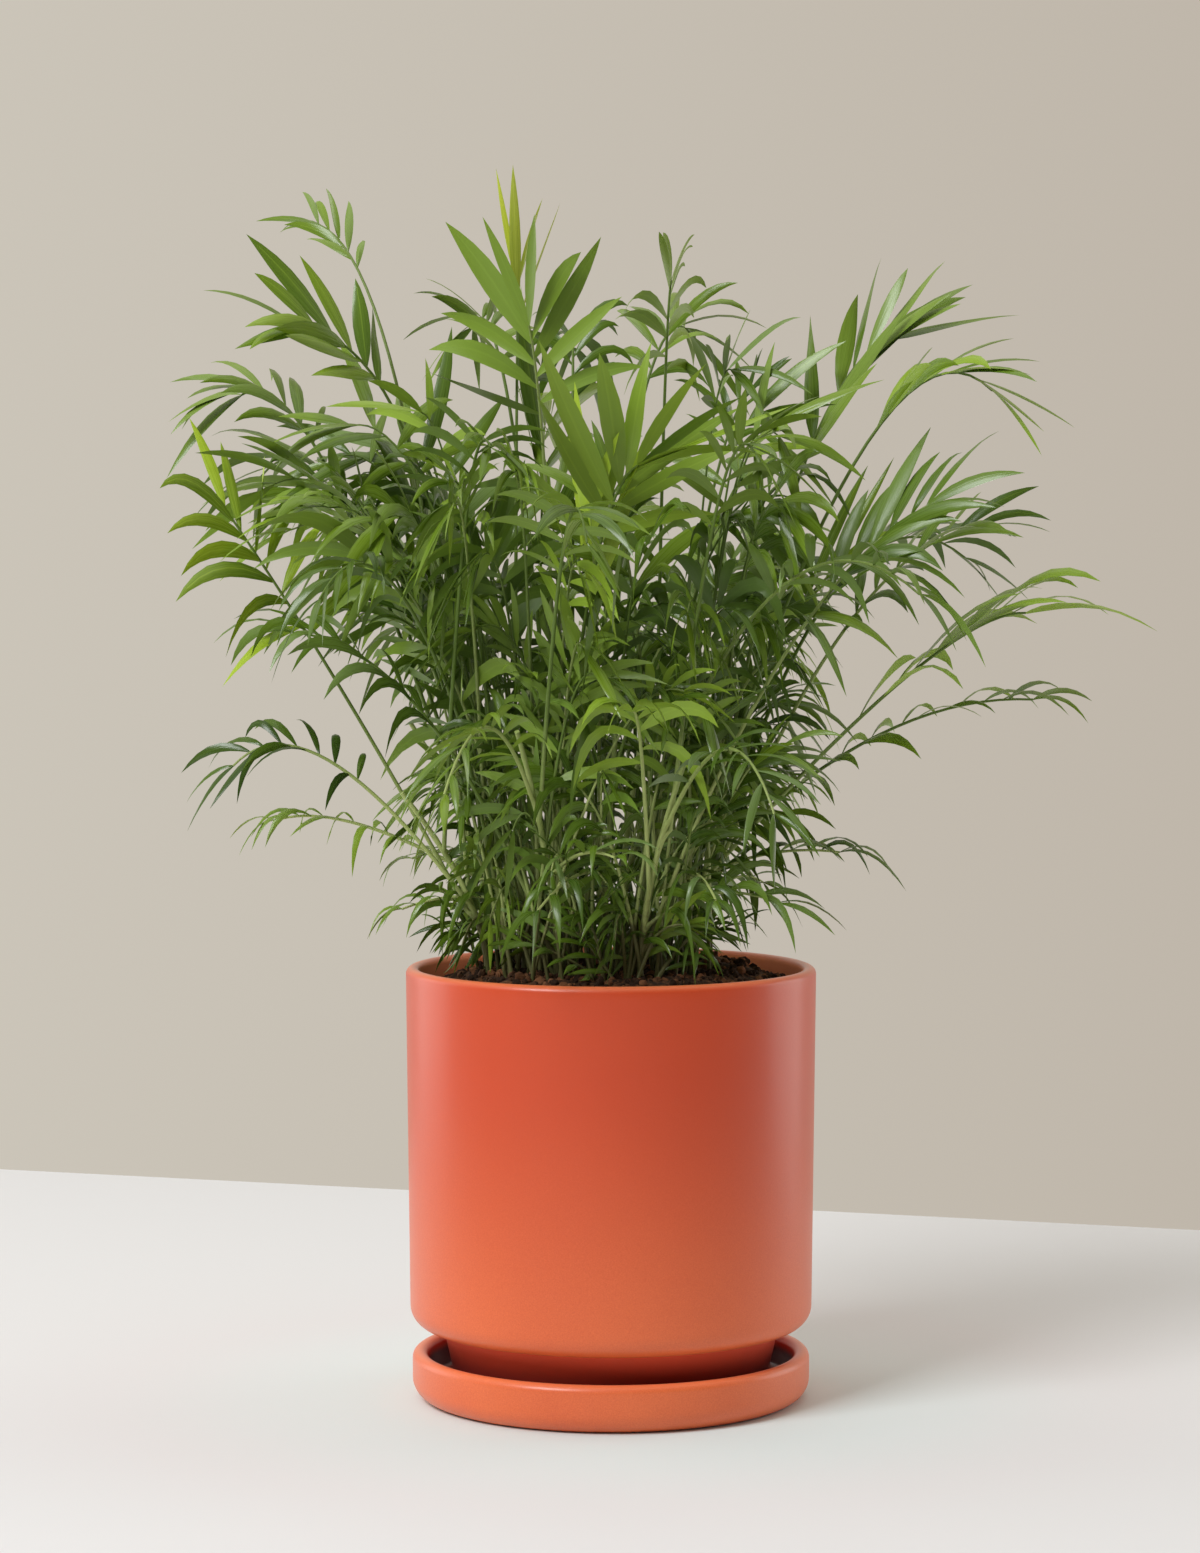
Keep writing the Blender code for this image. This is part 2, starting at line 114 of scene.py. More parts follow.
class Value:
    """One output socket in a tree, with arithmetic."""

    __add__ = operator("ADD")
    __radd__ = operator("ADD", swapped=True)
    __sub__ = operator("SUBTRACT")
    __rsub__ = operator("SUBTRACT", swapped=True)
    __mul__ = operator("MULTIPLY")
    __rmul__ = operator("MULTIPLY", swapped=True)
    __gt__ = operator("GREATER_THAN")
    __abs__ = operator("ABSOLUTE")

    def __init__(self, tree, socket):
        self.tree = tree
        self.socket = socket

    def ramp(self, low, high, least=0.0, kind="SMOOTHSTEP"):
        """Rises from least, below low, to 1, above high."""
        sockets = {"Value": self, "From Min": low, "From Max": high, "To Min": least}
        return self.tree.node("ShaderNodeMapRange", {"interpolation_type": kind}, sockets)

    def fall(self, low, high):
        """1 below low, 0 above high and smooth between."""
        return 1.0 - self.ramp(low, high)


class Tree:
    """The nodes of a material or the world, and the one of them that the others feed."""

    def __init__(self, owner, fed, sockets):
        owner.use_nodes = True
        self.nodes = owner.node_tree.nodes
        self.links = owner.node_tree.links
        self.fed = self.nodes[fed]
        self.feed(sockets)

    def feed(self, sockets, node=None):
        """Sets or links sockets, named or numbered, of the fed node or of another."""
        for name, value in sockets.items():
            socket = (node or self.fed).inputs[name]
            if isinstance(value, Value):
                self.links.new(value.socket, socket)
            else:
                socket.default_value = value

    def node(self, kind, settings=None, sockets=None, output=0):
        """Adds a node, makes its settings first, then feeds its sockets, and gives an output."""
        made = self.nodes.new(kind)
        for name, value in (settings or {}).items():
            setattr(made, name, value)
        self.feed(sockets or {}, made)
        return Value(self, made.outputs[output])

    def place(self, scale=(1.0, 1.0, 1.0), source="Object"):
        """The piece's own coordinates, scaled."""
        coordinates = self.node("ShaderNodeTexCoord", output=source)
        return self.node("ShaderNodeMapping", sockets={"Vector": coordinates, "Scale": scale})

    def tone(self):
        """The number from 0 to 1 that each crumb, stem or leaflet carries."""
        return self.node("ShaderNodeAttribute", {"attribute_name": "tone"}, output="Fac")

    def noise(self, where, scale, detail=2.0):
        """Noise from 0 to 1 about a half. scale is in waves a metre."""
        sockets = {"Vector": where, "Scale": scale, "Detail": detail}
        return self.node("ShaderNodeTexNoise", sockets=sockets)

    def mix(self, first, second, amount):
        """A colour between two others, each a value or (red, green, blue)."""
        first, second = ((*c, 1.0) if isinstance(c, tuple) else c for c in (first, second))
        sockets = {"Factor": amount, 6: first, 7: second}
        return self.node("ShaderNodeMix", {"data_type": "RGBA"}, sockets, output=2)

    def split(self, vector, axis):
        return self.node("ShaderNodeSeparateXYZ", sockets={0: vector}, output=axis)

    def length(self, vector):
        return self.node("ShaderNodeVectorMath", {"operation": "LENGTH"}, {0: vector}, output="Value")

    def relief(self, height, depth, strength=1.0):
        """Turns a height from 0 to 1 into a bump this many metres deep."""
        sockets = {"Height": height, "Distance": depth, "Strength": strength}
        self.feed({"Normal": self.node("ShaderNodeBump", sockets=sockets)})


class Finish(Tree):
    """A material under construction, with the values of its shader that are the same all over."""

    def __init__(self, name, sockets):
        self.material = bpy.data.materials.new(name)
        super().__init__(self.material, "Principled BSDF", sockets)


print("finishes can be written")

# %% [markdown]
# ## The studio
#
# A warm grey surround shows as the wall and lights the plant from behind and the sides. In front it
# is darker. A large soft light on the left, in front and 42 degrees up, gives the bright left side
# and the soft shadow. A weak one hangs overhead, and two low ones lift the pot's sides.

# %% Surround the plant with warm grey
WALL_LEFT = (0.600, 0.558, 0.485)
WALL_RIGHT = (0.520, 0.468, 0.400)
WALL_TURN = 3.2
ROOM_IN_FRONT = 0.38
ROOM_BRIGHTENS = (-0.6, 0.3)

scene = bpy.context.scene
scene.view_settings.view_transform = "Standard"
scene.world = bpy.data.worlds.new("studio")
sky = Tree(scene.world, "Background", {})
way = sky.node("ShaderNodeTexCoord", output="Generated")
across = sky.split(way, "X").ramp(-0.5 / WALL_TURN, 0.5 / WALL_TURN, kind="LINEAR")
sky.feed({"Color": sky.mix(WALL_LEFT, WALL_RIGHT, across)})
sky.feed({"Strength": sky.split(way, "Y").ramp(*ROOM_BRIGHTENS, least=ROOM_IN_FRONT)})
print("surround from", WALL_LEFT, "to", WALL_RIGHT)

# %% Hang the soft lights
COOL = (0.97, 0.98, 1.0)
WARM = (1.0, 0.98, 0.96)
# (name, azimuth, rise, distance, size, watts, colour)
LIGHTS = (
    ("key", 227.0, 42.0, 5.0, 2.0, 178.0, COOL),
    ("overhead", 60.0, 86.0, 3.0, 3.0, 20.0, WARM),
    ("left_bounce", 152.0, 6.0, 2.6, 1.6, 13.0, WARM),
    ("right_bounce", 24.0, 6.0, 2.6, 1.6, 15.0, WARM),
)
AIM = Vector((0.0, 0.0, 0.30))


def direction(azimuth, rise=0.0):
    """The unit vector at this azimuth, from +X towards +Y, and this rise above the level."""
    turn, tilt = math.radians(azimuth), math.radians(rise)
    return Vector((math.cos(turn) * math.cos(tilt), math.sin(turn) * math.cos(tilt), math.sin(tilt)))


for name, azimuth, rise, distance, size, watts, colour in LIGHTS:
    data = bpy.data.lights.new(name, "AREA")
    data.size = size
    data.energy = watts
    data.color = colour
    light = bpy.data.objects.new(name, data)
    towards = direction(azimuth, rise)
    light.location = AIM + towards * distance
    light.rotation_euler = towards.to_track_quat("Z", "Y").to_euler()
    light.visible_camera = False
    bpy.context.collection.objects.link(light)
    print(name, [round(value, 2) for value in light.location])

# %% [markdown]
# ## The floor
#
# One square, marked as stage because it isn't part of the plant. It is turned by 18 degrees, so its
# far edge is the slanting line where the wall begins. It is slightly rough paper white, painted a
# little greener by the pot to cancel the red light that the glaze throws on it.

# %% Lay the floor
FLOOR_SIDE = 3.0
FLOOR_BEHIND = 0.736
FLOOR_TURN = 18.0
FLOOR_WHITE = (0.785, 0.795, 0.810)
FLOOR_PAINTED_AGAINST_GLOW = (0.740, 0.900, 0.905)
FLOOR_GREY = (0.750, 0.760, 0.780)
POT_GLOW_RADII = (0.12, 0.33)
PAPER_GRAIN = 900.0


def nothing_selected():
    bpy.ops.object.select_all(action="DESELECT")


def settle(piece):
    """Moves the piece's place into its mesh, so that its object sits at the origin."""
    bpy.context.view_layer.update()
    piece.data.transform(piece.matrix_world)
    piece.matrix_world = Matrix.Identity(4)


nothing_selected()
bpy.ops.mesh.primitive_plane_add(
    size=FLOOR_SIDE,
    location=direction(90 - FLOOR_TURN) * (FLOOR_BEHIND - FLOOR_SIDE / 2),
    rotation=(0.0, 0.0, -math.radians(FLOOR_TURN)),
)
floor = bpy.context.object
floor.name = "floor"
settle(floor)
paper = Finish("floor_paper", {"Roughness": 0.8})
# Painted correction for light: by the pot the paper is tinted against the red light the glaze throws
# on it.
glow_cancel_mask = paper.length(paper.place()).fall(*POT_GLOW_RADII)
sheet = paper.mix(FLOOR_WHITE, FLOOR_PAINTED_AGAINST_GLOW, glow_cancel_mask)
grain = paper.noise(paper.place(), PAPER_GRAIN)
paper.feed({"Base Color": paper.mix(sheet, FLOOR_GREY, grain * 0.3)})
floor.data.materials.append(paper.material)
floor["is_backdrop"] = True
print("floor", FLOOR_SIDE, "m a side")

# %% [markdown]
# ## The glaze
#
# Pot and saucer have one satin glaze, a warm orange red with a fine speckle like orange peel and slow
# clouds of deeper colour. Light is painted into it: it is lighter and more orange towards the ground,
# as light from the floor, and darker and redder at the top, as shade from the crown. The lip is pale,
# partly as thin glaze and partly as a painted highlight, and the inner wall has painted light. A clear
# coat gives the pale sides, where it mirrors the surround. On the pot's foot and inside the saucer
# shade is painted in, red, and nearly black lower down.

# %% Mix the glaze
GLAZE_LOW_BOUNCE_LIT = (0.970, 0.220, 0.066)
GLAZE_HIGH_SHADED = (0.665, 0.064, 0.008)
GLAZE_DEEP = (0.590, 0.050, 0.006)
GLAZE_THIN_AND_HIGHLIT = (1.000, 0.270, 0.110)
GLAZE_INSIDE_PAINTED_LIGHT = (1.000, 0.300, 0.140)
GLAZE_RECESS_SHADE_RED = (0.900, 0.095, 0.036)
GLAZE_RECESS_SHADE_DARK = (0.100, 0.007, 0.016)
GLAZE_PAINTED_LIGHT_HEIGHTS = (0.04, 0.25)
CLOUDS_A_METRE = 9.0
PEEL_A_METRE = 420.0
SPECKS_A_METRE = 1300.0


def glaze(name, lip_z, lip_width, inner, recess_out, recess_z, thin_z):
    """The glaze of a piece whose lip is at lip_z and inner wall at the radius inner. Nearer the axis
    than recess_out and below thin_z shade is painted in, darkest below recess_z; above thin_z the
    inner wall has painted light."""
    finish = Finish(name, {"Coat Roughness": 0.24, "Specular IOR Level": 0.45})
    where = finish.place()
    clouds = finish.noise(where, CLOUDS_A_METRE, 3.0)
    speckle = finish.noise(where, SPECKS_A_METRE)
    peel = finish.noise(where, PEEL_A_METRE)
    height = finish.split(where, "Z")
    out = finish.length(finish.place((1.0, 1.0, 0.0)))
    # high marks the lip, which is paler: partly thin glaze, partly a painted highlight.
    high = height.ramp(lip_z - lip_width, lip_z + 0.3 * lip_width)
    # wall marks the inner wall above thin_z, where light is painted on.
    wall = out.fall(inner, inner + 0.002) * height.ramp(thin_z, thin_z + 0.01)
    # Painted shade in the recess under the pot's body and inside the saucer: red, and nearly black
    # lower down, where thick is.
    recess_shade = out.fall(recess_out - 0.001, recess_out) * height.fall(thin_z, thin_z + 0.002)
    thick = recess_shade * height.fall(recess_z, thin_z)
    # Painted light: lighter and more orange low down, as light from the floor, darker and redder high
    # up, as shade from the crown.
    body = finish.mix(GLAZE_LOW_BOUNCE_LIT, GLAZE_HIGH_SHADED, (height + 0.05 * clouds).ramp(*GLAZE_PAINTED_LIGHT_HEIGHTS))
    body = finish.mix(GLAZE_DEEP, body, clouds * 0.6 + speckle * 0.6)
    body = finish.mix(body, GLAZE_THIN_AND_HIGHLIT, high * 0.85)
    body = finish.mix(body, GLAZE_INSIDE_PAINTED_LIGHT, wall)
    body = finish.mix(body, GLAZE_RECESS_SHADE_RED, recess_shade * 0.85)
    finish.feed({"Base Color": finish.mix(body, GLAZE_RECESS_SHADE_DARK, thick * 0.92)})
    finish.feed({"Coat Weight": 0.42 - 0.42 * wall})
    finish.feed({"Roughness": 0.42 + 0.10 * clouds - 0.18 * high - 0.14 * thick + 0.45 * wall})
    finish.relief(peel * 0.7 + speckle * 0.3, 0.00012, 0.6)
    return finish.material


print("glaze from", GLAZE_LOW_BOUNCE_LIT, "to", GLAZE_HIGH_SHADED)

# %% [markdown]
# ## Modelling by hand
#
# The turned pieces start as a cylinder. In edit mode a face or a ring of edges is picked by its
# place and then inset, extruded or bevelled, because an operator works on whatever is selected.

# %% Pick and shape in edit mode
NEAR = 0.00005
ROUND_SIDES = 160
LIP_ROUNDING = 0.49


def edit(piece):
    """Opens one piece in edit mode with nothing in it selected."""
    nothing_selected()
    piece.select_set(True)
    bpy.context.view_layer.objects.active = piece
    bpy.ops.object.mode_set(mode="EDIT")
    bpy.ops.mesh.select_all(action="DESELECT")


def pick(piece, kind, wanted):
    """Selects the faces or edges, by kind, that are wanted, and nothing else."""
    bpy.ops.mesh.select_mode(type=kind)
    bpy.ops.mesh.select_all(action="DESELECT")
    mesh = bmesh.from_edit_mesh(piece.data)
    for part in mesh.faces if kind == "FACE" else mesh.edges:
        if wanted(part):
            part.select_set(True)
    bmesh.update_edit_mesh(piece.data)


def pick_cap(piece, height, up):
    """Selects the level faces at this height that face up (1) or down (-1)."""

    def on_cap(face):
        return abs(face.calc_center_median().z - height) < NEAR and face.normal.z * up > 0.9

    pick(piece, "FACE", on_cap)


def round_ring(piece, radius, height, size, segments):
    """Bevels the ring of edges at this radius and height."""

    def on_ring(edge):
        return all(
            abs(vert.co.xy.length - radius) < NEAR and abs(vert.co.z - height) < NEAR
            for vert in edge.verts
        )

    pick(piece, "EDGE", on_ring)
    bpy.ops.mesh.bevel(offset=size, segments=segments, affect="EDGES", profile=0.5)


def round_lip(piece, radius, wall, height, segments):
    """Rounds both edges of a lip, so that hardly a level face is left between them."""
    round_ring(piece, radius, height, wall * LIP_ROUNDING, segments)
    round_ring(piece, radius - wall, height, wall * LIP_ROUNDING, segments)


def widen(grow):
    """Widens what is selected about the axis."""
    bpy.ops.transform.resize(value=(grow, grow, 1.0))


def extrude(rise, grow=1.0):
    bpy.ops.mesh.extrude_region_move(TRANSFORM_OT_translate={"value": (0.0, 0.0, rise)})
    widen(grow)


def smooth(piece, degrees=40):
    bpy.ops.object.mode_set(mode="OBJECT")
    bpy.ops.object.shade_smooth_by_angle(angle=math.radians(degrees))


def cylinder(name, radius, low, high):
    nothing_selected()
    bpy.ops.mesh.primitive_cylinder_add(
        vertices=ROUND_SIDES, radius=radius, depth=high - low, location=(0.0, 0.0, (low + high) / 2)
    )
    piece = bpy.context.object
    piece.name = name
    settle(piece)
    return piece


print("ready to model")

# %% [markdown]
# ## The pot
#
# The pot is a slightly tapering cylinder with a fully rounded lip and a soft lower corner, over a
# narrower foot that stands in the saucer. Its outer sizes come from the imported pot. The top is inset
# and extruded down for the inside, and the bottom for the foot. The rings are bevelled last, and
# rings cut across the walls keep their shading even.

# %% Model the pot
pot_low, pot_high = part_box("pot")
POT_RADIUS = pot_high.x
POT_RIM = pot_high.z
POT_FOOT = pot_low.z
POT_TAPER = 0.0025
POT_WALL = 0.0088
POT_BODY = 0.045
POT_CORNER = 0.013
POT_FOOT_RADIUS = 0.1045
POT_FOOT_BOTTOM = 0.0960
POT_FLOOR = 0.010
POT_LOOPS = (0.19, 0.12)

base_radius = POT_RADIUS - POT_TAPER
inner_radius = POT_RADIUS - POT_WALL
shoulder = POT_BODY + POT_WALL
pot = cylinder("pot_body", POT_RADIUS, POT_BODY, POT_RIM)
edit(pot)
pick_cap(pot, POT_BODY, -1)
widen(base_radius / POT_RADIUS)
bpy.ops.mesh.inset(thickness=base_radius - POT_FOOT_RADIUS)
extrude(POT_FOOT - POT_BODY, POT_FOOT_BOTTOM / POT_FOOT_RADIUS)
pick_cap(pot, POT_RIM, 1)
bpy.ops.mesh.inset(thickness=POT_WALL)
extrude(shoulder - POT_RIM, (inner_radius - POT_TAPER) / inner_radius)
bpy.ops.mesh.inset(thickness=base_radius - POT_FOOT_RADIUS)
extrude(POT_FOOT + POT_FLOOR - shoulder, POT_FOOT_BOTTOM / POT_FOOT_RADIUS)
round_lip(pot, POT_RADIUS, POT_WALL, POT_RIM, 7)
round_ring(pot, base_radius, POT_BODY, POT_CORNER, 10)
round_ring(pot, POT_FOOT_RADIUS, POT_BODY, 0.002, 3)
round_ring(pot, POT_FOOT_BOTTOM, POT_FOOT, 0.003, 4)
for height in (POT_RIM - POT_WALL, POT_RIM - 2 * POT_WALL, *POT_LOOPS, POT_BODY + 1.5 * POT_CORNER):
    bpy.ops.mesh.select_all(action="SELECT")
    bpy.ops.mesh.bisect(plane_co=(0.0, 0.0, height), plane_no=(0.0, 0.0, 1.0))
smooth(pot)
pot_glaze = glaze(
    "pot_glaze", lip_z=POT_RIM, lip_width=0.004, inner=inner_radius,
    recess_out=POT_FOOT_RADIUS + 0.003, recess_z=POT_FOOT + 0.008, thin_z=POT_BODY + 0.006,
)
pot.data.materials.append(pot_glaze)
print("pot", round(2 * POT_RADIUS, 4), "m across")

# %% [markdown]
# ## The saucer
#
# The saucer is a deep dish, a little narrower than the pot, with the same rounded lip and lower
# corner. It is made as the pot is, from one cylinder.

# %% Model the saucer
saucer_low, saucer_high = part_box("saucer")
SAUCER_RADIUS = saucer_high.x
SAUCER_RIM = saucer_high.z
SAUCER_WALL = 0.0098
SAUCER_FLOOR = 0.008
SAUCER_CORNER = 0.013
SAUCER_FILLET = 0.004

saucer_inside = SAUCER_RADIUS - SAUCER_WALL
saucer = cylinder("saucer_dish", SAUCER_RADIUS, saucer_low.z, SAUCER_RIM)
edit(saucer)
pick_cap(saucer, SAUCER_RIM, 1)
bpy.ops.mesh.inset(thickness=SAUCER_WALL)
extrude(SAUCER_FLOOR - SAUCER_RIM)
round_lip(saucer, SAUCER_RADIUS, SAUCER_WALL, SAUCER_RIM, 8)
round_ring(saucer, saucer_inside, SAUCER_FLOOR, SAUCER_FILLET, 5)
round_ring(saucer, SAUCER_RADIUS, saucer_low.z, SAUCER_CORNER, 10)
smooth(saucer)
saucer_glaze = glaze(
    "saucer_glaze", lip_z=SAUCER_RIM, lip_width=0.003, inner=saucer_inside,
    recess_out=saucer_inside + 0.001, recess_z=SAUCER_RIM - 0.010, thin_z=SAUCER_RIM - 0.004,
)
saucer.data.materials.append(saucer_glaze)
print("saucer", round(2 * SAUCER_RADIUS, 4), "m across")

# %% [markdown]
# ## The potting mix
#
# The mix is a dark brown, crumbly bed just under the lip, lower at the wall and heaped up at the
# back on the right. Its body is a plug that fills the pot, whose top is inset into many rings and
# moved up and down by noise. Loose crumbs in four shapes lie on it, joined from arrays.

# %% Model the bed of potting mix
SOIL_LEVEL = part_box("soil")[1].z
SOIL_EDGE_DROP = 0.011
SOIL_LEVEL_RADIUS = 0.082
SOIL_GAP = 0.001
SOIL_BOTTOM = shoulder + 0.004
SOIL_TAPER = 0.977
SOIL_RINGS = 26
SOIL_LUMP = 0.0024
SOIL_LUMPS_A_METRE = 75.0
SOIL_ROUGHNESS = (0.9, 2.1, 4)
SOIL_MOUND = 0.0050
SOIL_MOUND_PLACE = (0.064, 0.030)
SOIL_MOUND_RADIUS = 0.026


def soil_height(x, y):
    """How high the bed is at this place."""
    fall = max(0.0, math.hypot(x, y) - SOIL_LEVEL_RADIUS) / (inner_radius - SOIL_LEVEL_RADIUS)
    lumps = noise.fractal(Vector((x, y, 0.0)) * SOIL_LUMPS_A_METRE, *SOIL_ROUGHNESS)
    away = math.dist((x, y), SOIL_MOUND_PLACE) / SOIL_MOUND_RADIUS
    mound = SOIL_MOUND * math.exp(-(away**2))
    return SOIL_LEVEL - SOIL_EDGE_DROP * min(1.0, fall) + SOIL_LUMP * lumps + mound


soil_radius = inner_radius - SOIL_GAP
soil = cylinder("soil_bed", soil_radius, SOIL_BOTTOM, SOIL_LEVEL)
edit(soil)
pick_cap(soil, SOIL_LEVEL, 1)
for ring in range(SOIL_RINGS):
    bpy.ops.mesh.inset(thickness=soil_radius / (SOIL_RINGS + 0.5))
bpy.ops.mesh.merge(type="CENTER")
pick_cap(soil, SOIL_BOTTOM, -1)
widen(SOIL_TAPER)
bpy.ops.object.mode_set(mode="OBJECT")
for vert in soil.data.vertices:
    if vert.co.z > SOIL_LEVEL - NEAR:
        vert.co.z = soil_height(vert.co.x, vert.co.y)
smooth(soil, 180)
print("bed of", len(soil.data.polygons), "faces")

# %% Join shapes from arrays
class Heap:
    """Many small shapes whose points, faces and tones are gathered and joined into one mesh."""

    def __init__(self):
        self.points = []
        self.faces = []
        self.places = []
        self.tones = []

    def add(self, points, faces, tone, places=None):
        """Adds one shape. tone is a number for the finish and places the UV pairs of its corners."""
        first = len(self.points)
        self.points += points
        self.faces += [tuple(first + corner for corner in face) for face in faces]
        self.tones += [tone] * len(points)
        self.places += places or [(0.0, 0.0)] * sum(len(face) for face in faces)

    def build(self, name, material, degrees):
        mesh = bpy.data.meshes.new(name)
        mesh.from_pydata(self.points, [], self.faces)
        mesh.attributes.new("tone", "FLOAT", "POINT").data.foreach_set("value", self.tones)
        flat = [number for place in self.places for number in place]
        mesh.uv_layers.new(name="along").data.foreach_set("uv", flat)
        mesh.materials.append(material)
        mesh.shade_smooth()
        mesh.set_sharp_from_angle(angle=math.radians(degrees))
        piece = bpy.data.objects.new(name, mesh)
        bpy.context.collection.objects.link(piece)
        print(name, len(self.faces), "faces")
        return piece


# %% Scatter the crumbs
CRUMB_SHAPES = 4
CRUMB_LUMPINESS = 0.35
CRUMB_COUNT = 2200
CRUMB_SIZES = (0.0008, 0.0030)
CRUMB_FINENESS = 2.2

crumb_shapes = []
for shape in range(CRUMB_SHAPES):
    nothing_selected()
    bpy.ops.mesh.primitive_ico_sphere_add(subdivisions=1 + shape % 2, radius=1.0)
    crumb = bpy.context.object
    edit(crumb)
    bpy.ops.mesh.select_all(action="SELECT")
    bpy.ops.transform.vertex_random(offset=CRUMB_LUMPINESS, seed=shape)
    bpy.ops.object.mode_set(mode="OBJECT")
    corners = [vert.co.copy() for vert in crumb.data.vertices]
    crumb_shapes.append((corners, [tuple(face.vertices) for face in crumb.data.polygons]))
    bpy.data.objects.remove(crumb)

rng = random.Random(5)
crumbs = Heap()
finest, coarsest = CRUMB_SIZES
for number in range(CRUMB_COUNT):
    out = (soil_radius - 0.002) * math.sqrt(rng.random())
    spot = direction(rng.uniform(0, 360)) * out
    size = finest + (coarsest - finest) * rng.random() ** CRUMB_FINENESS
    spot.z = soil_height(spot.x, spot.y) + size * rng.uniform(-0.1, 0.5)
    turn = Matrix.Rotation(rng.uniform(0, math.tau), 3, direction(rng.uniform(0, 360), 40))
    stretch = Matrix.Diagonal((size * rng.uniform(0.8, 1.5), size, size * rng.uniform(0.6, 1.0)))
    corners, crumb_faces = crumb_shapes[number % CRUMB_SHAPES]
    crumbs.add([spot + turn @ (stretch @ c) for c in corners], crumb_faces, rng.random())
print(CRUMB_COUNT, "crumbs")

# %% [markdown]
# The mix is peat and bark: nearly black when damp, with redder and paler bits. Its colour changes
# over the bed and from crumb to crumb.

# %% Finish the potting mix
PEAT = (0.034, 0.017, 0.009)
BARK = (0.215, 0.092, 0.040)


def potting_mix(name, by_tone):
    finish = Finish(name, {"Roughness": 0.95, "Specular IOR Level": 0.25})
    where = finish.place()
    patches = finish.noise(where, 260.0, 4.0)
    if by_tone:
        patches = patches * 0.6 + finish.tone() * 0.8 - 0.25
    finish.feed({"Base Color": finish.mix(PEAT, BARK, patches.ramp(0.35, 0.85))})
    finish.relief(finish.noise(where, 700.0, 5.0), 0.0008)
    return finish.material


soil.data.materials.append(potting_mix("damp_mix", False))
crumb_piece = crumbs.build("soil_crumbs", potting_mix("crumb_mix", True), 30)

# %% [markdown]
# ## Canes and ribs, by the rule of the solids
#
# The thirteen canes are spread over the root zone by the golden angle. A cane leaves the mix upright
# and then leans out, more so towards the edge. A frond starts beside a cane and arches to its tip,
# drawn up towards the height `crest`. The rule's possible starts are tried in order, until the
# corners of the rib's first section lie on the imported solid.

# %% Grow the canes
GAP = 0.0003
SEED = 11
GOLDEN_ANGLE = 137.508
CANE_COUNT = 13
ROOT_ZONE_RADIUS = 0.074
ROOT_ZONE_CENTRE = Vector((-0.010, 0.004, 0.0))
CANE_RADII = (0.0026, 0.0018)
CANE_UPRIGHT = 0.05
CANE_HEIGHTS = (0.205, 0.120)
CANE_LEANS = (3.0, 27.0)


class Cane:
    """One stem of the clump: upright where it leaves the mix, then leaning out."""

    def __init__(self, index):
        rng = random.Random(SEED * 100 + index)
        out = math.sqrt((index + 0.5) / CANE_COUNT)
        outward = direction(index * GOLDEN_ANGLE + rng.uniform(-12, 12))
        self.foot = ROOT_ZONE_CENTRE + outward * (ROOT_ZONE_RADIUS * out)
        self.foot.z = SOIL_LEVEL + GAP
        inner, outer = CANE_HEIGHTS
        self.height = (inner + (outer - inner) * out) * rng.uniform(0.85, 1.15)
        lean = math.radians(CANE_LEANS[0] + (CANE_LEANS[1] - CANE_LEANS[0]) * out)
        self.sway = outward * (self.height * math.tan(lean))
        self.fronds = 0

    def at(self, share):
        """The centre line at this share of the height."""
        swayed = max(0.0, share - CANE_UPRIGHT) / (1 - CANE_UPRIGHT)
        return self.foot + Vector((0, 0, self.height * share)) + self.sway * swayed**1.6

    def radius(self, share):
        return CANE_RADII[0] + (CANE_RADII[1] - CANE_RADII[0]) * share


canes = [Cane(index) for index in range(CANE_COUNT)]
print("canes", [round(1000 * cane.height) for cane in canes], "mm high")

# %% Draw a frond's rib
PETIOLE_RADIUS = 0.0014
RIB_TIP_RADIUS = 0.0007
RIB_SAMPLES = 40
MOST_BLADE = 0.85

# The rib ends at (x, y, z) and is drawn up towards the height crest at the share lean of the way
# out. blade is the stretch of it with leaflets, leaf the longest leaflet, turn the roll about the
# rib, spread the leaflets' angle to the rib, droop the share of its length that a leaflet's tip
# falls, tone its green and broad how much wider than usual its leaflets are. Lengths are in
# millimetres and angles in degrees.
Frond = namedtuple(
    "Frond", "name x y z crest lean blade leaf pairs turn spread droop tone broad", defaults=(1.0,)
)


class Rib:
    """A frond's petiole and midrib: one arch from its start to its tip."""

    def __init__(self, frond, start):
        self.frond = frond
        self.start = start
        self.end = Vector((frond.x, frond.y, frond.z)) / 1000
        level = Vector((self.end.x - start.x, self.end.y - start.y, 0.0))
        self.bend = start + level * frond.lean
        self.bend.z = frond.crest / 1000
        self.side = Vector((-level.y, level.x, 0.0)).normalized()
        samples = [self.point(i / RIB_SAMPLES) for i in range(RIB_SAMPLES + 1)]
        self.length = sum((b - a).length for a, b in zip(samples, samples[1:]))
        self.blade_share = min(MOST_BLADE, frond.blade / 1000 / self.length)

    def point(self, t):
        return self.start * (1 - t) ** 2 + self.bend * 2 * t * (1 - t) + self.end * t**2

    def frame(self, t):
        """(along, across, up) at t. Up is the side that faces the sky, rolled by the turn."""
        along = (self.bend - self.start) * (1 - t) + (self.end - self.bend) * t
        along.normalize()
        across = (self.side - along * self.side.dot(along)).normalized()
        across = Matrix.Rotation(math.radians(self.frond.turn), 3, along) @ across
        return along, across, along.cross(across)

    def radius(self, t):
        return PETIOLE_RADIUS + (RIB_TIP_RADIUS - PETIOLE_RADIUS) * t


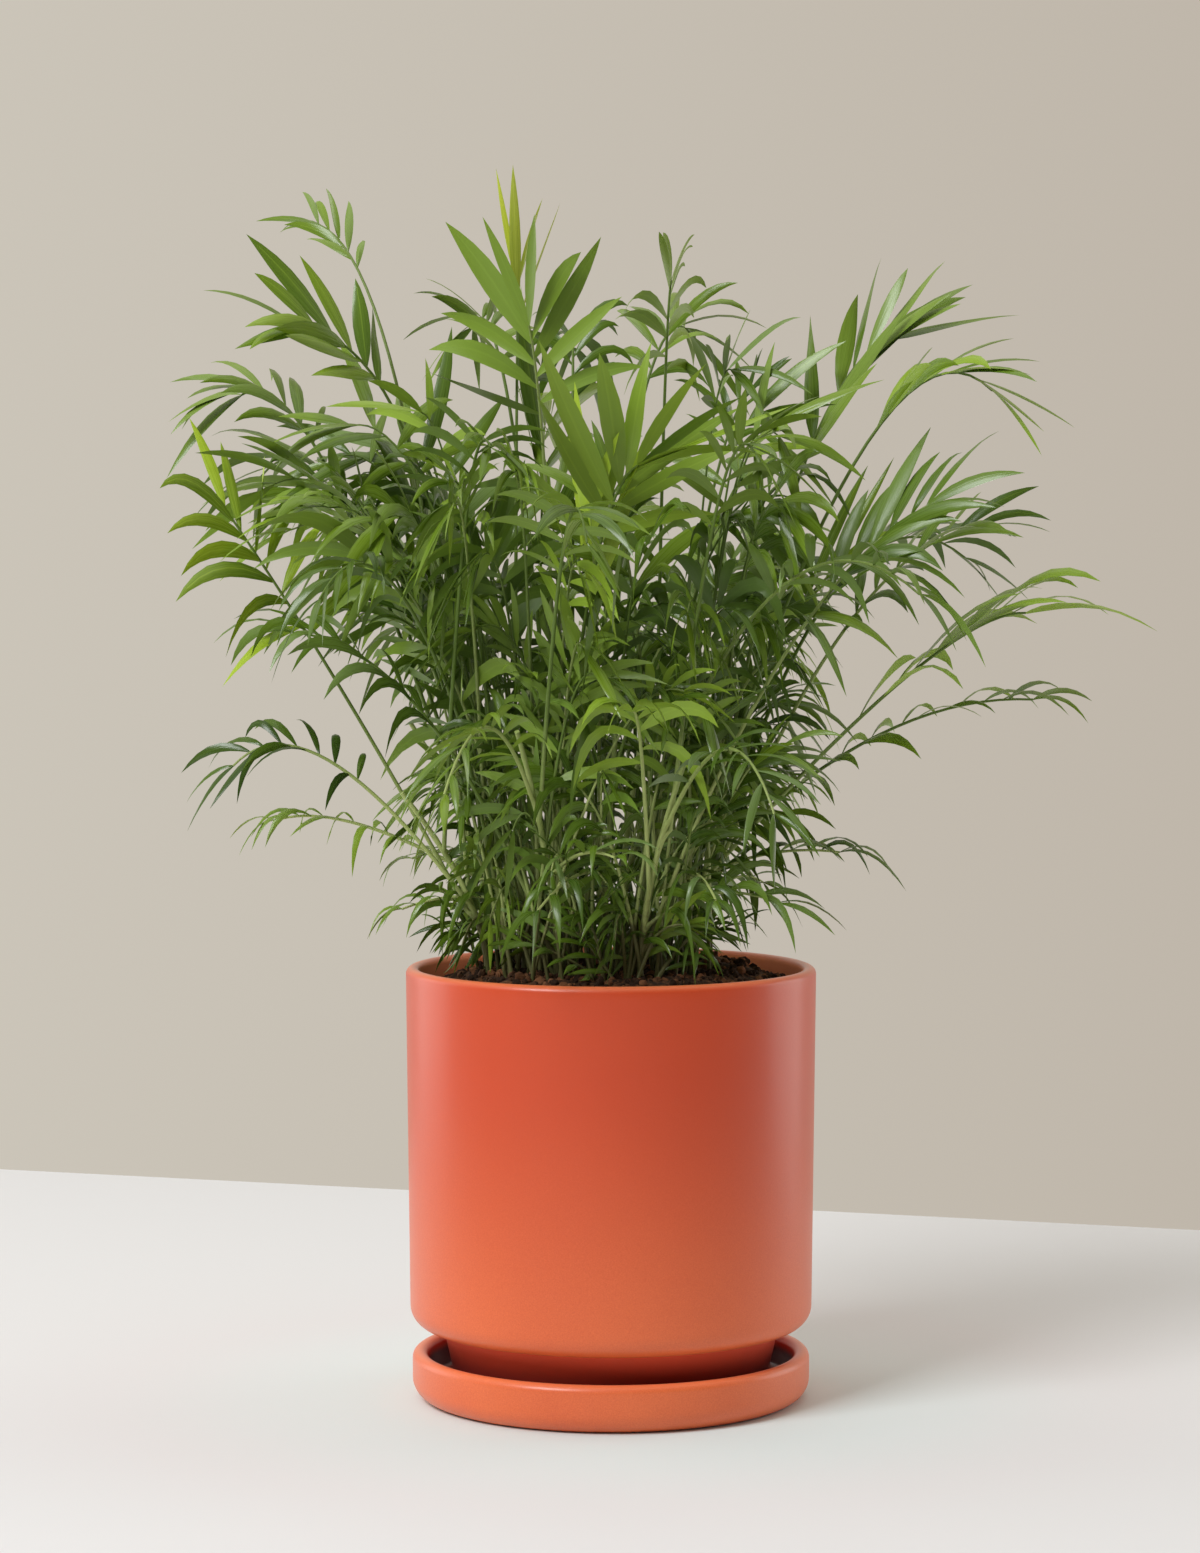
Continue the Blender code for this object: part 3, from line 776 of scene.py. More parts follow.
# %% Find where a packed frond starts
CANE_CHOICES = 4
FULL_PULL_REACH = 160
CROWDING = 0.022
LOWEST_START = 0.10
START_STEP = 0.16
HIGH_FROND = 450
RISE_PER_MILLIMETRE = 0.25 / 300
HIGHEST_START = 0.95
RAISES = (0.0, 0.06, 0.14)
SHIFTS = (0, 12, -12, 28, -28, 50, -50)
UPPER_CORNER = (0.87, 0.5)
ON_SOLID = 0.0001

Start = namedtuple("Start", "cane share rib")


def possible_starts(frond):
    """Every start the rule allows, from the best: the cane, the height on it and the side."""
    reach = Vector((frond.x, frond.y, 0.0))
    pull = min(1.0, reach.length / FULL_PULL_REACH)

    def cost(cane):
        off = cane.foot - ROOT_ZONE_CENTRE
        outward = off.dot(reach.normalized())
        return cane.fronds * CROWDING - outward * pull + off.xy.length * (1 - pull)

    for cane in sorted(canes, key=cost)[:CANE_CHOICES]:
        low = LOWEST_START + START_STEP * cane.fronds
        low += RISE_PER_MILLIMETRE * max(0.0, frond.z - HIGH_FROND)
        for raised in RAISES:
            share = min(HIGHEST_START, low + raised)
            root = cane.at(share)
            away = (reach / 1000 - root).xy.normalized().to_3d()
            clear = cane.radius(share) + PETIOLE_RADIUS + 2 * GAP
            for shift in SHIFTS:
                turned = Matrix.Rotation(math.radians(shift), 3, "Z") @ away
                yield Start(cane, share, Rib(frond, root + turned * clear))


def packed_start(frond):
    """The start whose rib's first section lies on the frond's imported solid."""
    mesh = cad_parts[f"frond_{frond.name}"].data
    tree = KDTree(len(mesh.vertices))
    for vert in mesh.vertices:
        tree.insert(vert.co, vert.index)
    tree.balance()
    for start in possible_starts(frond):
        _, across, up = start.rib.frame(0.0)
        upper = across * UPPER_CORNER[0] + up * UPPER_CORNER[1]
        corners = [start.rib.start + way * PETIOLE_RADIUS for way in (-up, upper)]
        if all(tree.find(corner)[2] < ON_SOLID for corner in corners):
            start.cane.fronds += 1
            return start
    raise ValueError(f"no start by the rule lies on the solid of {frond.name}")

# %% [markdown]
# ## The fronds
#
# The first table holds the fronds that the photograph shows one by one. The second closes the crown
# in arcs at the back and front. Both are the solids' own. The third says how the photograph shows
# some of them a little otherwise than their solids.

# %% List the fronds that show
SEEN_FRONDS = [Frond(*row) for row in (
    ("top_fan", -50, -22, 662, 600, 0.3, 92, 100, 5, -12, 44, 0.05, "middle", 1.2),
    ("spear", -58, 34, 690, 600, 0.5, 34, 86, 2, 60, 20, 0.0, "spear"),
    ("left_far_high", -186, 95, 732, 704, 0.36, 96, 48, 5, -40, 34, 0.2, "middle"),
    ("left_high", -190, -40, 661, 640, 0.47, 116, 74, 6, -58, 42, 0.05, "fresh", 1.5),
    ("left_upper_arch", -230, 36, 622, 654, 0.69, 130, 70, 7, -25, 42, 0.2, "middle"),
    ("left_middle", -234, -45, 551, 448, 0.52, 96, 72, 7, -50, 56, 0.25, "bright"),
    ("left_droop", -190, -70, 476, 470, 0.48, 140, 66, 8, -20, 40, 0.45, "dark"),
    ("left_low_dark", -229, -50, 395, 442, 0.68, 110, 50, 8, -35, 48, 0.35, "deep"),
    ("left_low_thin", -207, -10, 359, 374, 0.70, 105, 38, 6, -15, 40, 0.55, "fresh"),
    ("left_foot", -128, -28, 306, 330, 0.50, 84, 38, 7, -10, 48, 0.7, "middle"),
    ("left_foot_back", -126, 66, 330, 350, 0.50, 80, 38, 6, 0, 48, 0.5, "middle"),
    ("right_high", 173, 20, 656, 632, 0.45, 150, 84, 7, 40, 32, 0.1, "middle", 1.15),
    ("right_second", 231, -36, 622, 694, 0.62, 175, 66, 8, 15, 36, 0.1, "fresh"),
    ("right_folded", 134, 24, 508, 450, 0.45, 34, 98, 2, 60, 22, 0.0, "bright"),
    ("right_fan", 190, -58, 552, 505, 0.48, 110, 80, 6, 45, 34, 0.15, "dark"),
    ("right_fan_low", 222, -10, 538, 530, 0.55, 140, 60, 7, 25, 40, 0.2, "middle"),
    ("right_far_arch", 254, -18, 487, 490, 0.76, 180, 84, 7, 0, 34, 0.35, "fresh"),
    ("right_low_arch", 264, 34, 432, 438, 0.53, 200, 46, 10, 10, 44, 0.6, "middle"),
    ("right_foot", 142, 10, 338, 348, 0.45, 88, 50, 6, 0, 40, 0.5, "dark"),
    ("right_foot_front", 101, -66, 313, 330, 0.45, 80, 52, 6, 20, 44, 0.5, "dark"),
    ("top_right", 38, 70, 695, 660, 0.5, 130, 60, 7, 10, 56, 0.35, "fresh"),
    ("back_right_high", 90, 118, 628, 600, 0.5, 90, 46, 5, 20, 40, 0.1, "dark"),
    ("centre_light", 16, -92, 576, 560, 0.35, 100, 90, 6, 0, 46, 0.0, "fresh", 1.15),
    ("centre_left_light", -12, -60, 545, 500, 0.35, 80, 90, 4, -20, 30, 0.0, "bright"),
    ("front_light", 12, -152, 432, 436, 0.45, 76, 52, 5, 0, 54, 0.2, "fresh", 1.2),
    ("front_low", 2, -128, 345, 352, 0.45, 74, 48, 5, 0, 50, 0.4, "dark"),
    ("front_foot_left", -44, -116, 312, 338, 0.45, 74, 44, 5, 0, 50, 0.6, "dark"),
    ("front_foot_right", 62, -104, 318, 340, 0.45, 74, 44, 5, 0, 50, 0.6, "deep"),
)]

# (name, count, first and last azimuth, reach, height, crest, blade, leaf, pairs)
FILL_ARCS = (
    ("back_high", 3, 70, 128, 150, 640, 690, 140, 64, 6),
    ("back_middle", 3, 30, 150, 250, 545, 610, 165, 62, 7),
    ("back_low", 3, 58, 122, 245, 425, 500, 150, 54, 7),
    ("front_high", 2, 236, 304, 150, 600, 640, 130, 60, 6),
    ("front_middle", 3, 222, 318, 240, 510, 590, 155, 60, 7),
    ("front_low", 2, 250, 290, 240, 395, 470, 135, 52, 7),
)
FILL_TONES = ("middle", "dark", "middle", "deep")
FINER_PAIRS = 1.15


def fill_fronds():
    """The fronds of the arcs, each a little off its arc's sizes."""
    rng = random.Random(SEED)
    found = []
    for name, count, first, last, reach, height, crest, blade, leaf, pairs in FILL_ARCS:
        for i in range(count):
            azimuth = first + (last - first) * i / (count - 1) + rng.uniform(-6, 6)
            size = rng.uniform(0.9, 1.08)
            out = direction(azimuth) * (reach * size)
            rise = rng.uniform(-28, 28)
            found.append(Frond(
                f"{name}_{i + 1}", out.x, out.y, height + rise, crest + rise,
                lean=rng.uniform(0.46, 0.62), blade=blade * size, leaf=leaf * size, pairs=pairs,
                turn=rng.uniform(-25, 25), spread=rng.uniform(40, 52),
                droop=rng.uniform(0.15, 0.45), tone=FILL_TONES[len(found) % len(FILL_TONES)],
            ))
    return found


REDRAWN = {
    "left_high": {"lean": 0.20, "crest": 655, "spread": 37, "leaf": 72},
    "left_middle": {"leaf": 84},
    "top_fan": {"leaf": 90, "spread": 52},
    "centre_light": {"turn": -32, "leaf": 96},
    "centre_left_light": {"turn": -40},
    "front_light": {"leaf": 60, "droop": 0.38, "spread": 62},
    "right_far_arch": {"leaf": 92, "droop": 0.25, "spread": 30},
    "right_low_arch": {"leaf": 52, "droop": 0.35},
}

filling = fill_fronds()
starts = [packed_start(frond) for frond in (*SEEN_FRONDS, *filling)]
redrawn = [frond._replace(**REDRAWN.get(frond.name, {})) for frond in SEEN_FRONDS]
redrawn += [frond._replace(pairs=round(frond.pairs * FINER_PAIRS)) for frond in filling]
packed_ribs = [Rib(frond, start.rib.start) for frond, start in zip(redrawn, starts)]
print(len(packed_ribs), "packed fronds stand on", sum(cane.fronds > 0 for cane in canes), "canes")

# %% [markdown]
# ## Young fronds inside the crown
#
# A pot like this is sown with dozens of seedlings, so thin stalks stand between the big canes, each
# with one frond. They start in the mix and end inside the crown, whose left and right side are given
# at a few heights, and fill the middle, where the photograph shows hardly any wall.

# %% Sow the young fronds
# (height, left and right side of the crown there)
CROWN_SIDES = (
    (280, -114, 84), (330, -132, 112), (400, -122, 122), (440, -126, 126), (470, -154, 138),
    (500, -182, 166), (530, -206, 168), (565, -220, 138), (600, -200, 124), (640, -150, 92),
    (680, -90, 60),
)
CROWN_DEPTH = 0.85
GOLDEN_SHARE = 0.618
# (name, count, first and last azimuth, lowest and highest tip, least and most share of the way out,
# leaf, blade, pairs, droop)
YOUNG_TIERS = (
    ("top", 3, 0, 360, 600, 655, 0.30, 0.95, 88, 130, 4, 0.12),
    ("right_top", 3, -25, 25, 585, 622, 0.75, 1.00, 78, 150, 4, 0.12),
    ("left_top", 3, 150, 210, 572, 612, 0.55, 0.85, 82, 140, 4, 0.12),
    ("left", 8, 135, 225, 495, 585, 0.70, 1.00, 80, 165, 6, 0.34),
    ("upper", 35, 0, 360, 465, 572, 0.15, 0.95, 76, 155, 6, 0.36),
    ("middle", 47, 0, 360, 385, 490, 0.15, 1.00, 55, 135, 7, 0.34),
    ("low", 40, 0, 360, 315, 400, 0.40, 1.00, 40, 95, 6, 0.28),
    ("front", 12, 215, 325, 320, 470, 0.60, 1.00, 50, 100, 5, 0.20),
    ("foot", 34, 0, 360, 282, 330, 0.55, 1.00, 33, 62, 6, 0.25),
)
YOUNG_TONES = ("deep", "dark", "middle", "fresh")
RIGHT_PAINTED_SHADE = 0.4
STALK_DEPTH = 0.002


def crown_sides(height):
    """The crown's left and right side at this height, in millimetres."""
    for (low, *narrow), (high, *wide) in zip(CROWN_SIDES, CROWN_SIDES[1:]):
        if height <= high:
            break
    rise = min(1.0, max(0.0, (height - low) / (high - low)))
    return [first + (second - first) * rise for first, second in zip(narrow, wide)]


def young_tone(share, height, x, chance):
    """The green with painted shade: darker inside, low down and on the right of the crown."""
    light = 0.25 + share * 1.7 + (height - 330) / 230 + chance
    # Painted shade: fronds on the right of the crown get darker greens.
    light -= RIGHT_PAINTED_SHADE * min(1.0, max(0.0, x / 100))
    return YOUNG_TONES[min(3, max(0, int(light)))]


def young_fronds():
    rng = random.Random(SEED + 1)
    found = []
    for name, count, first, last, low, high, least, most, leaf, blade, pairs, droop in YOUNG_TIERS:
        for i in range(count):
            turned = (i * GOLDEN_SHARE) % 1.0
            around = direction(first + (last - first) * turned + rng.uniform(-12, 12))
            height = rng.uniform(low, high)
            left, right = crown_sides(height)
            share = least + (most - least) * math.sqrt(rng.random())
            half = (right - left) / 2 * share
            size = rng.uniform(0.68, 1.18)
            chance = rng.uniform(-1.1, 0.9)
            x = (left + right) / 2 + around.x * half
            found.append(Frond(
                f"young_{name}_{i + 1}", x, around.y * half * CROWN_DEPTH, height,
                crest=height + rng.uniform(-10, 50), lean=rng.uniform(0.4, 0.62),
                blade=blade * size, leaf=leaf * size, pairs=pairs + rng.choice((-1, 0, 1)),
                turn=rng.uniform(-75, 75), spread=rng.uniform(34, 58),
                droop=droop * rng.uniform(0.2, 1.6), tone=young_tone(share, height, x, chance),
            ))
    return found


def stalk_start(frond):
    """A place in the mix for a young frond's stalk, towards its own side of the root zone."""
    rng = random.Random(f"stalk {frond.name}")
    reach = Vector((frond.x, frond.y, 0.0)) / 1000
    side = Matrix.Rotation(math.radians(rng.uniform(-60, 60)), 3, "Z") @ reach.normalized()
    share = min(0.98, 0.25 + 0.75 * math.sqrt(rng.random()))
    foot = ROOT_ZONE_CENTRE + side * (ROOT_ZONE_RADIUS * share)
    foot.z = soil_height(foot.x, foot.y) - STALK_DEPTH
    return foot


young_ribs = [Rib(frond, stalk_start(frond)) for frond in young_fronds()]
print(len(young_ribs), "young fronds")

# %% [markdown]
# ## Leaflets
#
# A leaflet is lance-shaped, widest before its middle and drawn out to a fine point, and a little
# folded along its midrib. It is a closed blade with sharp edges, of rings of four points and one at
# the tip. It climbs, then falls by the droop, leans towards the frond's tip and twists. In its UV
# coordinates v runs from root to tip, and u across the upper side from 0 to 1 and back under to 2.

# %% Shape a leaflet
STOPS = (0.0, 0.05, 0.14, 0.27, 0.42, 0.58, 0.73, 0.87, 1.0)
WIDEST = 0.41
ROOT_NARROWNESS = 0.7
TIP_NARROWNESS = ROOT_NARROWNESS * (1 - WIDEST) / WIDEST
LEAST_WIDTH = 0.16
BLADE_THICKNESS = 0.0005
SHORTENED = 0.28
RUN_STEP = 0.02

Leaflet = namedtuple(
    "Leaflet", "root outward up forward length width climb droop sweep roll twist fold"
)


def blade_width(stop):
    """The width at this share of the length, as a share of the greatest width."""
    before = (stop / WIDEST) ** ROOT_NARROWNESS
    after = ((1 - stop) / (1 - WIDEST)) ** TIP_NARROWNESS
    return max(LEAST_WIDTH, before * after)


def midrib(leaflet, stop):
    bend = leaflet.climb + leaflet.droop
    run = leaflet.outward * (leaflet.length * stop * (1 - SHORTENED * bend * stop))
    sweep = leaflet.forward * (leaflet.sweep * leaflet.length * stop**2)
    rise = leaflet.length * (leaflet.climb * stop - bend * stop**2)
    return leaflet.root + run + sweep + Vector((0.0, 0.0, rise))


def blade_ring(leaflet, stop):
    """The four points of the blade at a stop: one edge, the top, the other edge and underneath."""
    centre = midrib(leaflet, stop)
    run = (midrib(leaflet, stop + RUN_STEP) - midrib(leaflet, stop - RUN_STEP)).normalized()
    up = (leaflet.up - run * leaflet.up.dot(run)).normalized()
    up = Matrix.Rotation(leaflet.roll + leaflet.twist * stop, 3, run) @ up
    wide = up.cross(run) * (leaflet.width / 2 * blade_width(stop))
    drop = up * (wide.length * math.tan(leaflet.fold))
    thick = up * (BLADE_THICKNESS / 2)
    return [centre + wide - drop, centre + thick, centre - wide - drop, centre - thick]


# The corners of a side's two triangles, in steps (round, along) the blade. The diagonals of even and
# odd sides mirror each other.
CUTS = (
    (((0, 0), (1, 0), (1, 1)), ((0, 0), (1, 1), (0, 1))),
    (((0, 0), (1, 0), (0, 1)), ((1, 0), (1, 1), (0, 1))),
)


def add_leaflet(heap, leaflet, tone):
    """Adds the blade. Above and below it is cut along the same diagonals, from the edge to the
    midrib, so that its two sides stay apart where it twists."""
    points = [corner for stop in STOPS[:-1] for corner in blade_ring(leaflet, stop)]
    points.append(midrib(leaflet, 1.0))
    faces, places = [(3, 2, 1, 0)], [(corner / 2, 0.0) for corner in (3, 2, 1, 0)]
    last = len(STOPS) - 2
    for ring in range(last):
        for corner in range(4):
            for cut in CUTS[corner % 2]:
                faces.append(tuple(4 * (ring + up) + (corner + beside) % 4 for beside, up in cut))
                places += [((corner + beside) / 2, STOPS[ring + up]) for beside, up in cut]
    for corner in range(4):
        faces.append((4 * last + corner, 4 * last + (corner + 1) % 4, len(points) - 1))
        places += [((corner + beside) / 2, STOPS[last]) for beside in (0, 1)]
        places.append(((corner + 0.5) / 2, 1.0))
    heap.add(points, faces, tone, places)


print("a leaflet has", 8 * (len(STOPS) - 2) + 6, "triangles")

# %% [markdown]
# ## Stalks
#
# A stalk, petiole or cane is a round tube. Its rings keep from twisting because each one's first
# corner follows the last one's.

# %% Draw a tube
def add_tube(heap, centres, radii, sides, tone):
    points, faces = [], []
    spoke = Vector((1.0, 0.0, 0.0))
    last = len(centres) - 1
    for i, centre in enumerate(centres):
        run = (centres[min(i + 1, last)] - centres[max(i - 1, 0)]).normalized()
        spoke = (spoke - run * spoke.dot(run)).normalized()
        across = run.cross(spoke)
        for corner in range(sides):
            angle = math.tau * corner / sides
            points.append(centre + (spoke * math.cos(angle) + across * math.sin(angle)) * radii[i])
    for i in range(last):
        for corner in range(sides):
            beside = (corner + 1) % sides
            here, above = i * sides, (i + 1) * sides
            faces.append((here + corner, here + beside, above + beside, above + corner))
    faces.append(tuple(reversed(range(sides))))
    faces.append(tuple(range(last * sides, (last + 1) * sides)))
    heap.add(points, faces, tone)


# %% [markdown]
# ## Dressing a frond
#
# Leaflets sit in near pairs, longest before the middle of the blade and closer to the rib towards
# its end. Each strays from the rule by seeded chance, as real ones do. One that would dip into the
# pot is held up until it clears it.

# %% Dress the fronds
SPARSE = ("right_far_arch", "right_low_arch", "left_low_thin")
LOST_FROM_SPARSE = 0.2
LOST_LEAFLETS = 0.07
MOST_WHOLE_PAIRS = 6
STAGGER = 0.22
LEAST_SIZE = 0.76
SIZE_ARC = (0.22, 0.90)
TIP_SPREAD = 23.0
LEAST_SPREAD = 12.0
NARROW_SPREAD = 36.0
NARROW_FAN = 0.7
WIDE_FAN = 1.9
CLOSED_WIDTH = 0.62
LEAF_WIDTHS = (0.094, 0.134)
INSIDE_RADIUS = inner_radius - 0.006
RIM_CLEARANCE = 0.003
DROOP_STEP = 0.1
LEAST_DROOP = -0.6


def clears_pot(leaflet):
    for stop in STOPS[2:]:
        point = midrib(leaflet, stop)
        inside = point.xy.length < INSIDE_RADIUS
        least = soil_height(point.x, point.y) if inside else POT_RIM
        if point.z < least + RIM_CLEARANCE:
            return False
    return True


def make_leaflet(rib, share, side, rng):
    """The leaflet on this side (1 or -1) at this share of the blade, 0 at its lowest pair."""
    frond = rib.frond
    t = 1 - rib.blade_share * (1 - share)
    along, across, up = rib.frame(t)
    place = min(1.0, max(0.0, share))
    rise = math.sin(math.pi * (SIZE_ARC[0] + (SIZE_ARC[1] - SIZE_ARC[0]) * place))
    size = LEAST_SIZE + (1 - LEAST_SIZE) * rise
    length = frond.leaf / 1000 * size * rng.uniform(0.86, 1.14)
    closed = frond.spread < TIP_SPREAD
    opening = NARROW_FAN if frond.spread < NARROW_SPREAD else WIDE_FAN
    angle = TIP_SPREAD + opening * (frond.spread - TIP_SPREAD) * (1 - place)
    angle += rng.uniform(-4, 4) if closed else rng.uniform(-8, 8)
    angle = math.radians(max(angle, LEAST_SPREAD))
    lift = rng.uniform(-0.05, 0.22)
    outward = along * math.cos(angle) + across * side * math.sin(angle) + up * lift
    outward.normalize()
    width = length * rng.uniform(*LEAF_WIDTHS) * frond.broad * (CLOSED_WIDTH if closed else 1.0)
    climb = (0.06 + 0.6 * frond.droop + rng.uniform(0.0, 0.32)) * outward.xy.length
    droop = frond.droop * rng.uniform(0.35, 1.3) * (1.5 - 0.8 * place)
    leaflet = Leaflet(
        rib.point(t) + across * side * rib.radius(t) * 0.5, outward, up, along, length, width,
        climb, droop, sweep=rng.uniform(-0.10, 0.20), roll=math.radians(rng.uniform(-34, 34)),
        twist=math.radians(rng.uniform(-60, 60)), fold=math.radians(rng.uniform(4, 20)),
    )
    while not clears_pot(leaflet) and leaflet.droop > LEAST_DROOP:
        leaflet = leaflet._replace(droop=leaflet.droop - DROOP_STEP)
    return leaflet


def dress(rib):
    """Adds the rib's leaflets to the heap of their green."""
    frond = rib.frond
    rng = random.Random(f"{SEED} {frond.name}")
    lost = LOST_FROM_SPARSE if frond.name in SPARSE else LOST_LEAFLETS
    base_tone = rng.random()
    last = frond.pairs - 1
    for pair in range(frond.pairs):
        for side in (1, -1):
            if frond.pairs > MOST_WHOLE_PAIRS and rng.random() < lost:
                continue
            stagger = side * STAGGER + rng.uniform(-0.12, 0.12) if pair < last else 0.0
            leaflet = make_leaflet(rib, (pair + stagger) / last, side, rng)
            add_leaflet(leaf_heaps[frond.tone], leaflet, 0.35 * base_tone + 0.65 * rng.random())


leaf_heaps = {tone: Heap() for tone in ("deep", "dark", "middle", "fresh", "bright", "spear")}
for rib in packed_ribs + young_ribs:
    dress(rib)
print({tone: len(heap.faces) for tone, heap in leaf_heaps.items()})

# %% Draw canes, petioles and stalks
CANE_STEP = 0.004
CANE_DEPTH = 0.003
CANE_THINNED = 0.78
NODE_SPACING = 0.017
NODE_HALF = 0.0025
NODE_SWELL = 0.22
SHEATH_SHARE = 0.10
SHEATH_WIDTH = 1.12
SHEATH_STEPS = 5
PETIOLE_WIDTH = 1.2
STALK_RADII = (0.0009, 0.0015)
STALK_TIP_RADIUS = 0.0005
RIB_STATIONS = 22
RIB_SHARES = [i / RIB_STATIONS for i in range(RIB_STATIONS + 1)]


def cane_tube(cane):
    """The cane's centres and radii, swollen into a ring at each old leaf's scar."""
    steps = round(cane.height / CANE_STEP)
    centres, radii = [cane.foot - Vector((0, 0, CANE_DEPTH))], []
    centres += [cane.at(i / steps) for i in range(1, steps + 1)]
    for i in range(steps + 1):
        along = i / steps * cane.height
        off = abs(along / NODE_SPACING - round(along / NODE_SPACING)) * NODE_SPACING
        swell = 1 + NODE_SWELL * max(0.0, 1 - off / NODE_HALF)
        radii.append(cane.radius(i / steps) * swell * CANE_THINNED)
    return centres, radii


def packed_petiole(start, rib):
    """From a sheath round the cane, out of it, to the start of the rib."""
    cane, share, _ = start
    low = max(0.02, share - SHEATH_SHARE)
    sheath = cane.radius(low) * CANE_THINNED * SHEATH_WIDTH
    parts = [i / SHEATH_STEPS for i in range(SHEATH_STEPS)]
    centres = [cane.at(low + (share - low) * part).lerp(rib.start, part**2) for part in parts]
    radii = [sheath * (1 - part) + rib.radius(0) * PETIOLE_WIDTH * part for part in parts]
    return centres, radii


def rib_centres(rib):
    return [rib.point(share) for share in RIB_SHARES]


cane_heap, rib_heap, stalk_heap = Heap(), Heap(), Heap()
for number, cane in enumerate(canes):
    add_tube(cane_heap, *cane_tube(cane), 12, (number * 0.37) % 1.0)
for start, rib in zip(starts, packed_ribs):
    centres, radii = packed_petiole(start, rib)
    centres += rib_centres(rib)
    radii += [rib.radius(share) for share in RIB_SHARES]
    add_tube(rib_heap, centres, radii, 8, random.Random(rib.frond.name).random())
for rib in young_ribs:
    rng = random.Random(f"stalk size {rib.frond.name}")
    thick = rng.uniform(*STALK_RADII)
    radii = [thick + (STALK_TIP_RADIUS - thick) * share for share in RIB_SHARES]
    add_tube(stalk_heap, rib_centres(rib), radii, 7, rng.random())
print("tubes with", len(cane_heap.faces + rib_heap.faces + stalk_heap.faces), "faces")

# %% [markdown]
# ## Greens
#
# Canes are pale yellow green, browner at the foot where old sheaths cling. Petioles turn from that
# to the leaf's own green. The leaves come in six greens, dealt out by frond: deep and dark inside
# the crown, low down and on the right, as painted shade, fresh and bright further out, higher up and
# on new fronds, and nearly yellow on the unopened spear. Fine veins run along each leaflet, and the
# midrib is paler. A blade here is opaque, so its underside is lighter, as light that comes through
# would make it. The palest leaflets have a grey sheen painted on their upper side.

# %% Finish the stems
CANE_PALE = (0.420, 0.500, 0.170)
CANE_GREEN = (0.115, 0.185, 0.028)
CANE_HUSK = (0.075, 0.060, 0.024)


def stem_green(name, pale_z, green_z):
    """Pale below pale_z, green above green_z, streaked lengthwise, and husky at the foot."""
    finish = Finish(name, {"Roughness": 0.42, "Specular IOR Level": 0.3})
    where = finish.place()
    height = finish.split(where, "Z")
    streaks = finish.noise(finish.place((1.0, 1.0, 0.12)), 900.0, 3.0)
    green = height.ramp(pale_z, green_z) + streaks * 0.4 - 0.2 + finish.tone() * 1.0 - 0.5
    body = finish.mix(CANE_PALE, CANE_GREEN, green.ramp(0.0, 1.0))
    low = height.fall(SOIL_LEVEL, SOIL_LEVEL + 0.07)
    husk = (low * 0.8 + finish.noise(where, 160.0, 3.0) - 0.72).ramp(0.0, 0.3)
    finish.feed({"Base Color": finish.mix(body, CANE_HUSK, husk * 0.8)})
    finish.relief(streaks, 0.0002, 0.5)
    return finish.material


cane_piece = cane_heap.build("canes", stem_green("cane_skin", 0.30, 0.60), 60)
rib_piece = rib_heap.build("frond_ribs", stem_green("rib_skin", 0.26, 0.50), 60)
stalk_piece = stalk_heap.build("young_stalks", stem_green("stalk_skin", 0.26, 0.50), 60)

# %% Finish the leaves
LEAF_GREENS = {
    "deep": (0.060, 0.115, 0.010),
    "dark": (0.088, 0.160, 0.012),
    "middle": (0.128, 0.215, 0.015),
    "fresh": (0.175, 0.285, 0.019),
    "bright": (0.265, 0.390, 0.024),
    "spear": (0.420, 0.510, 0.050),
}
PAINTED_SHEEN = (0.190, 0.270, 0.125)
VEINS = (8.0, 1.3, 1.0)


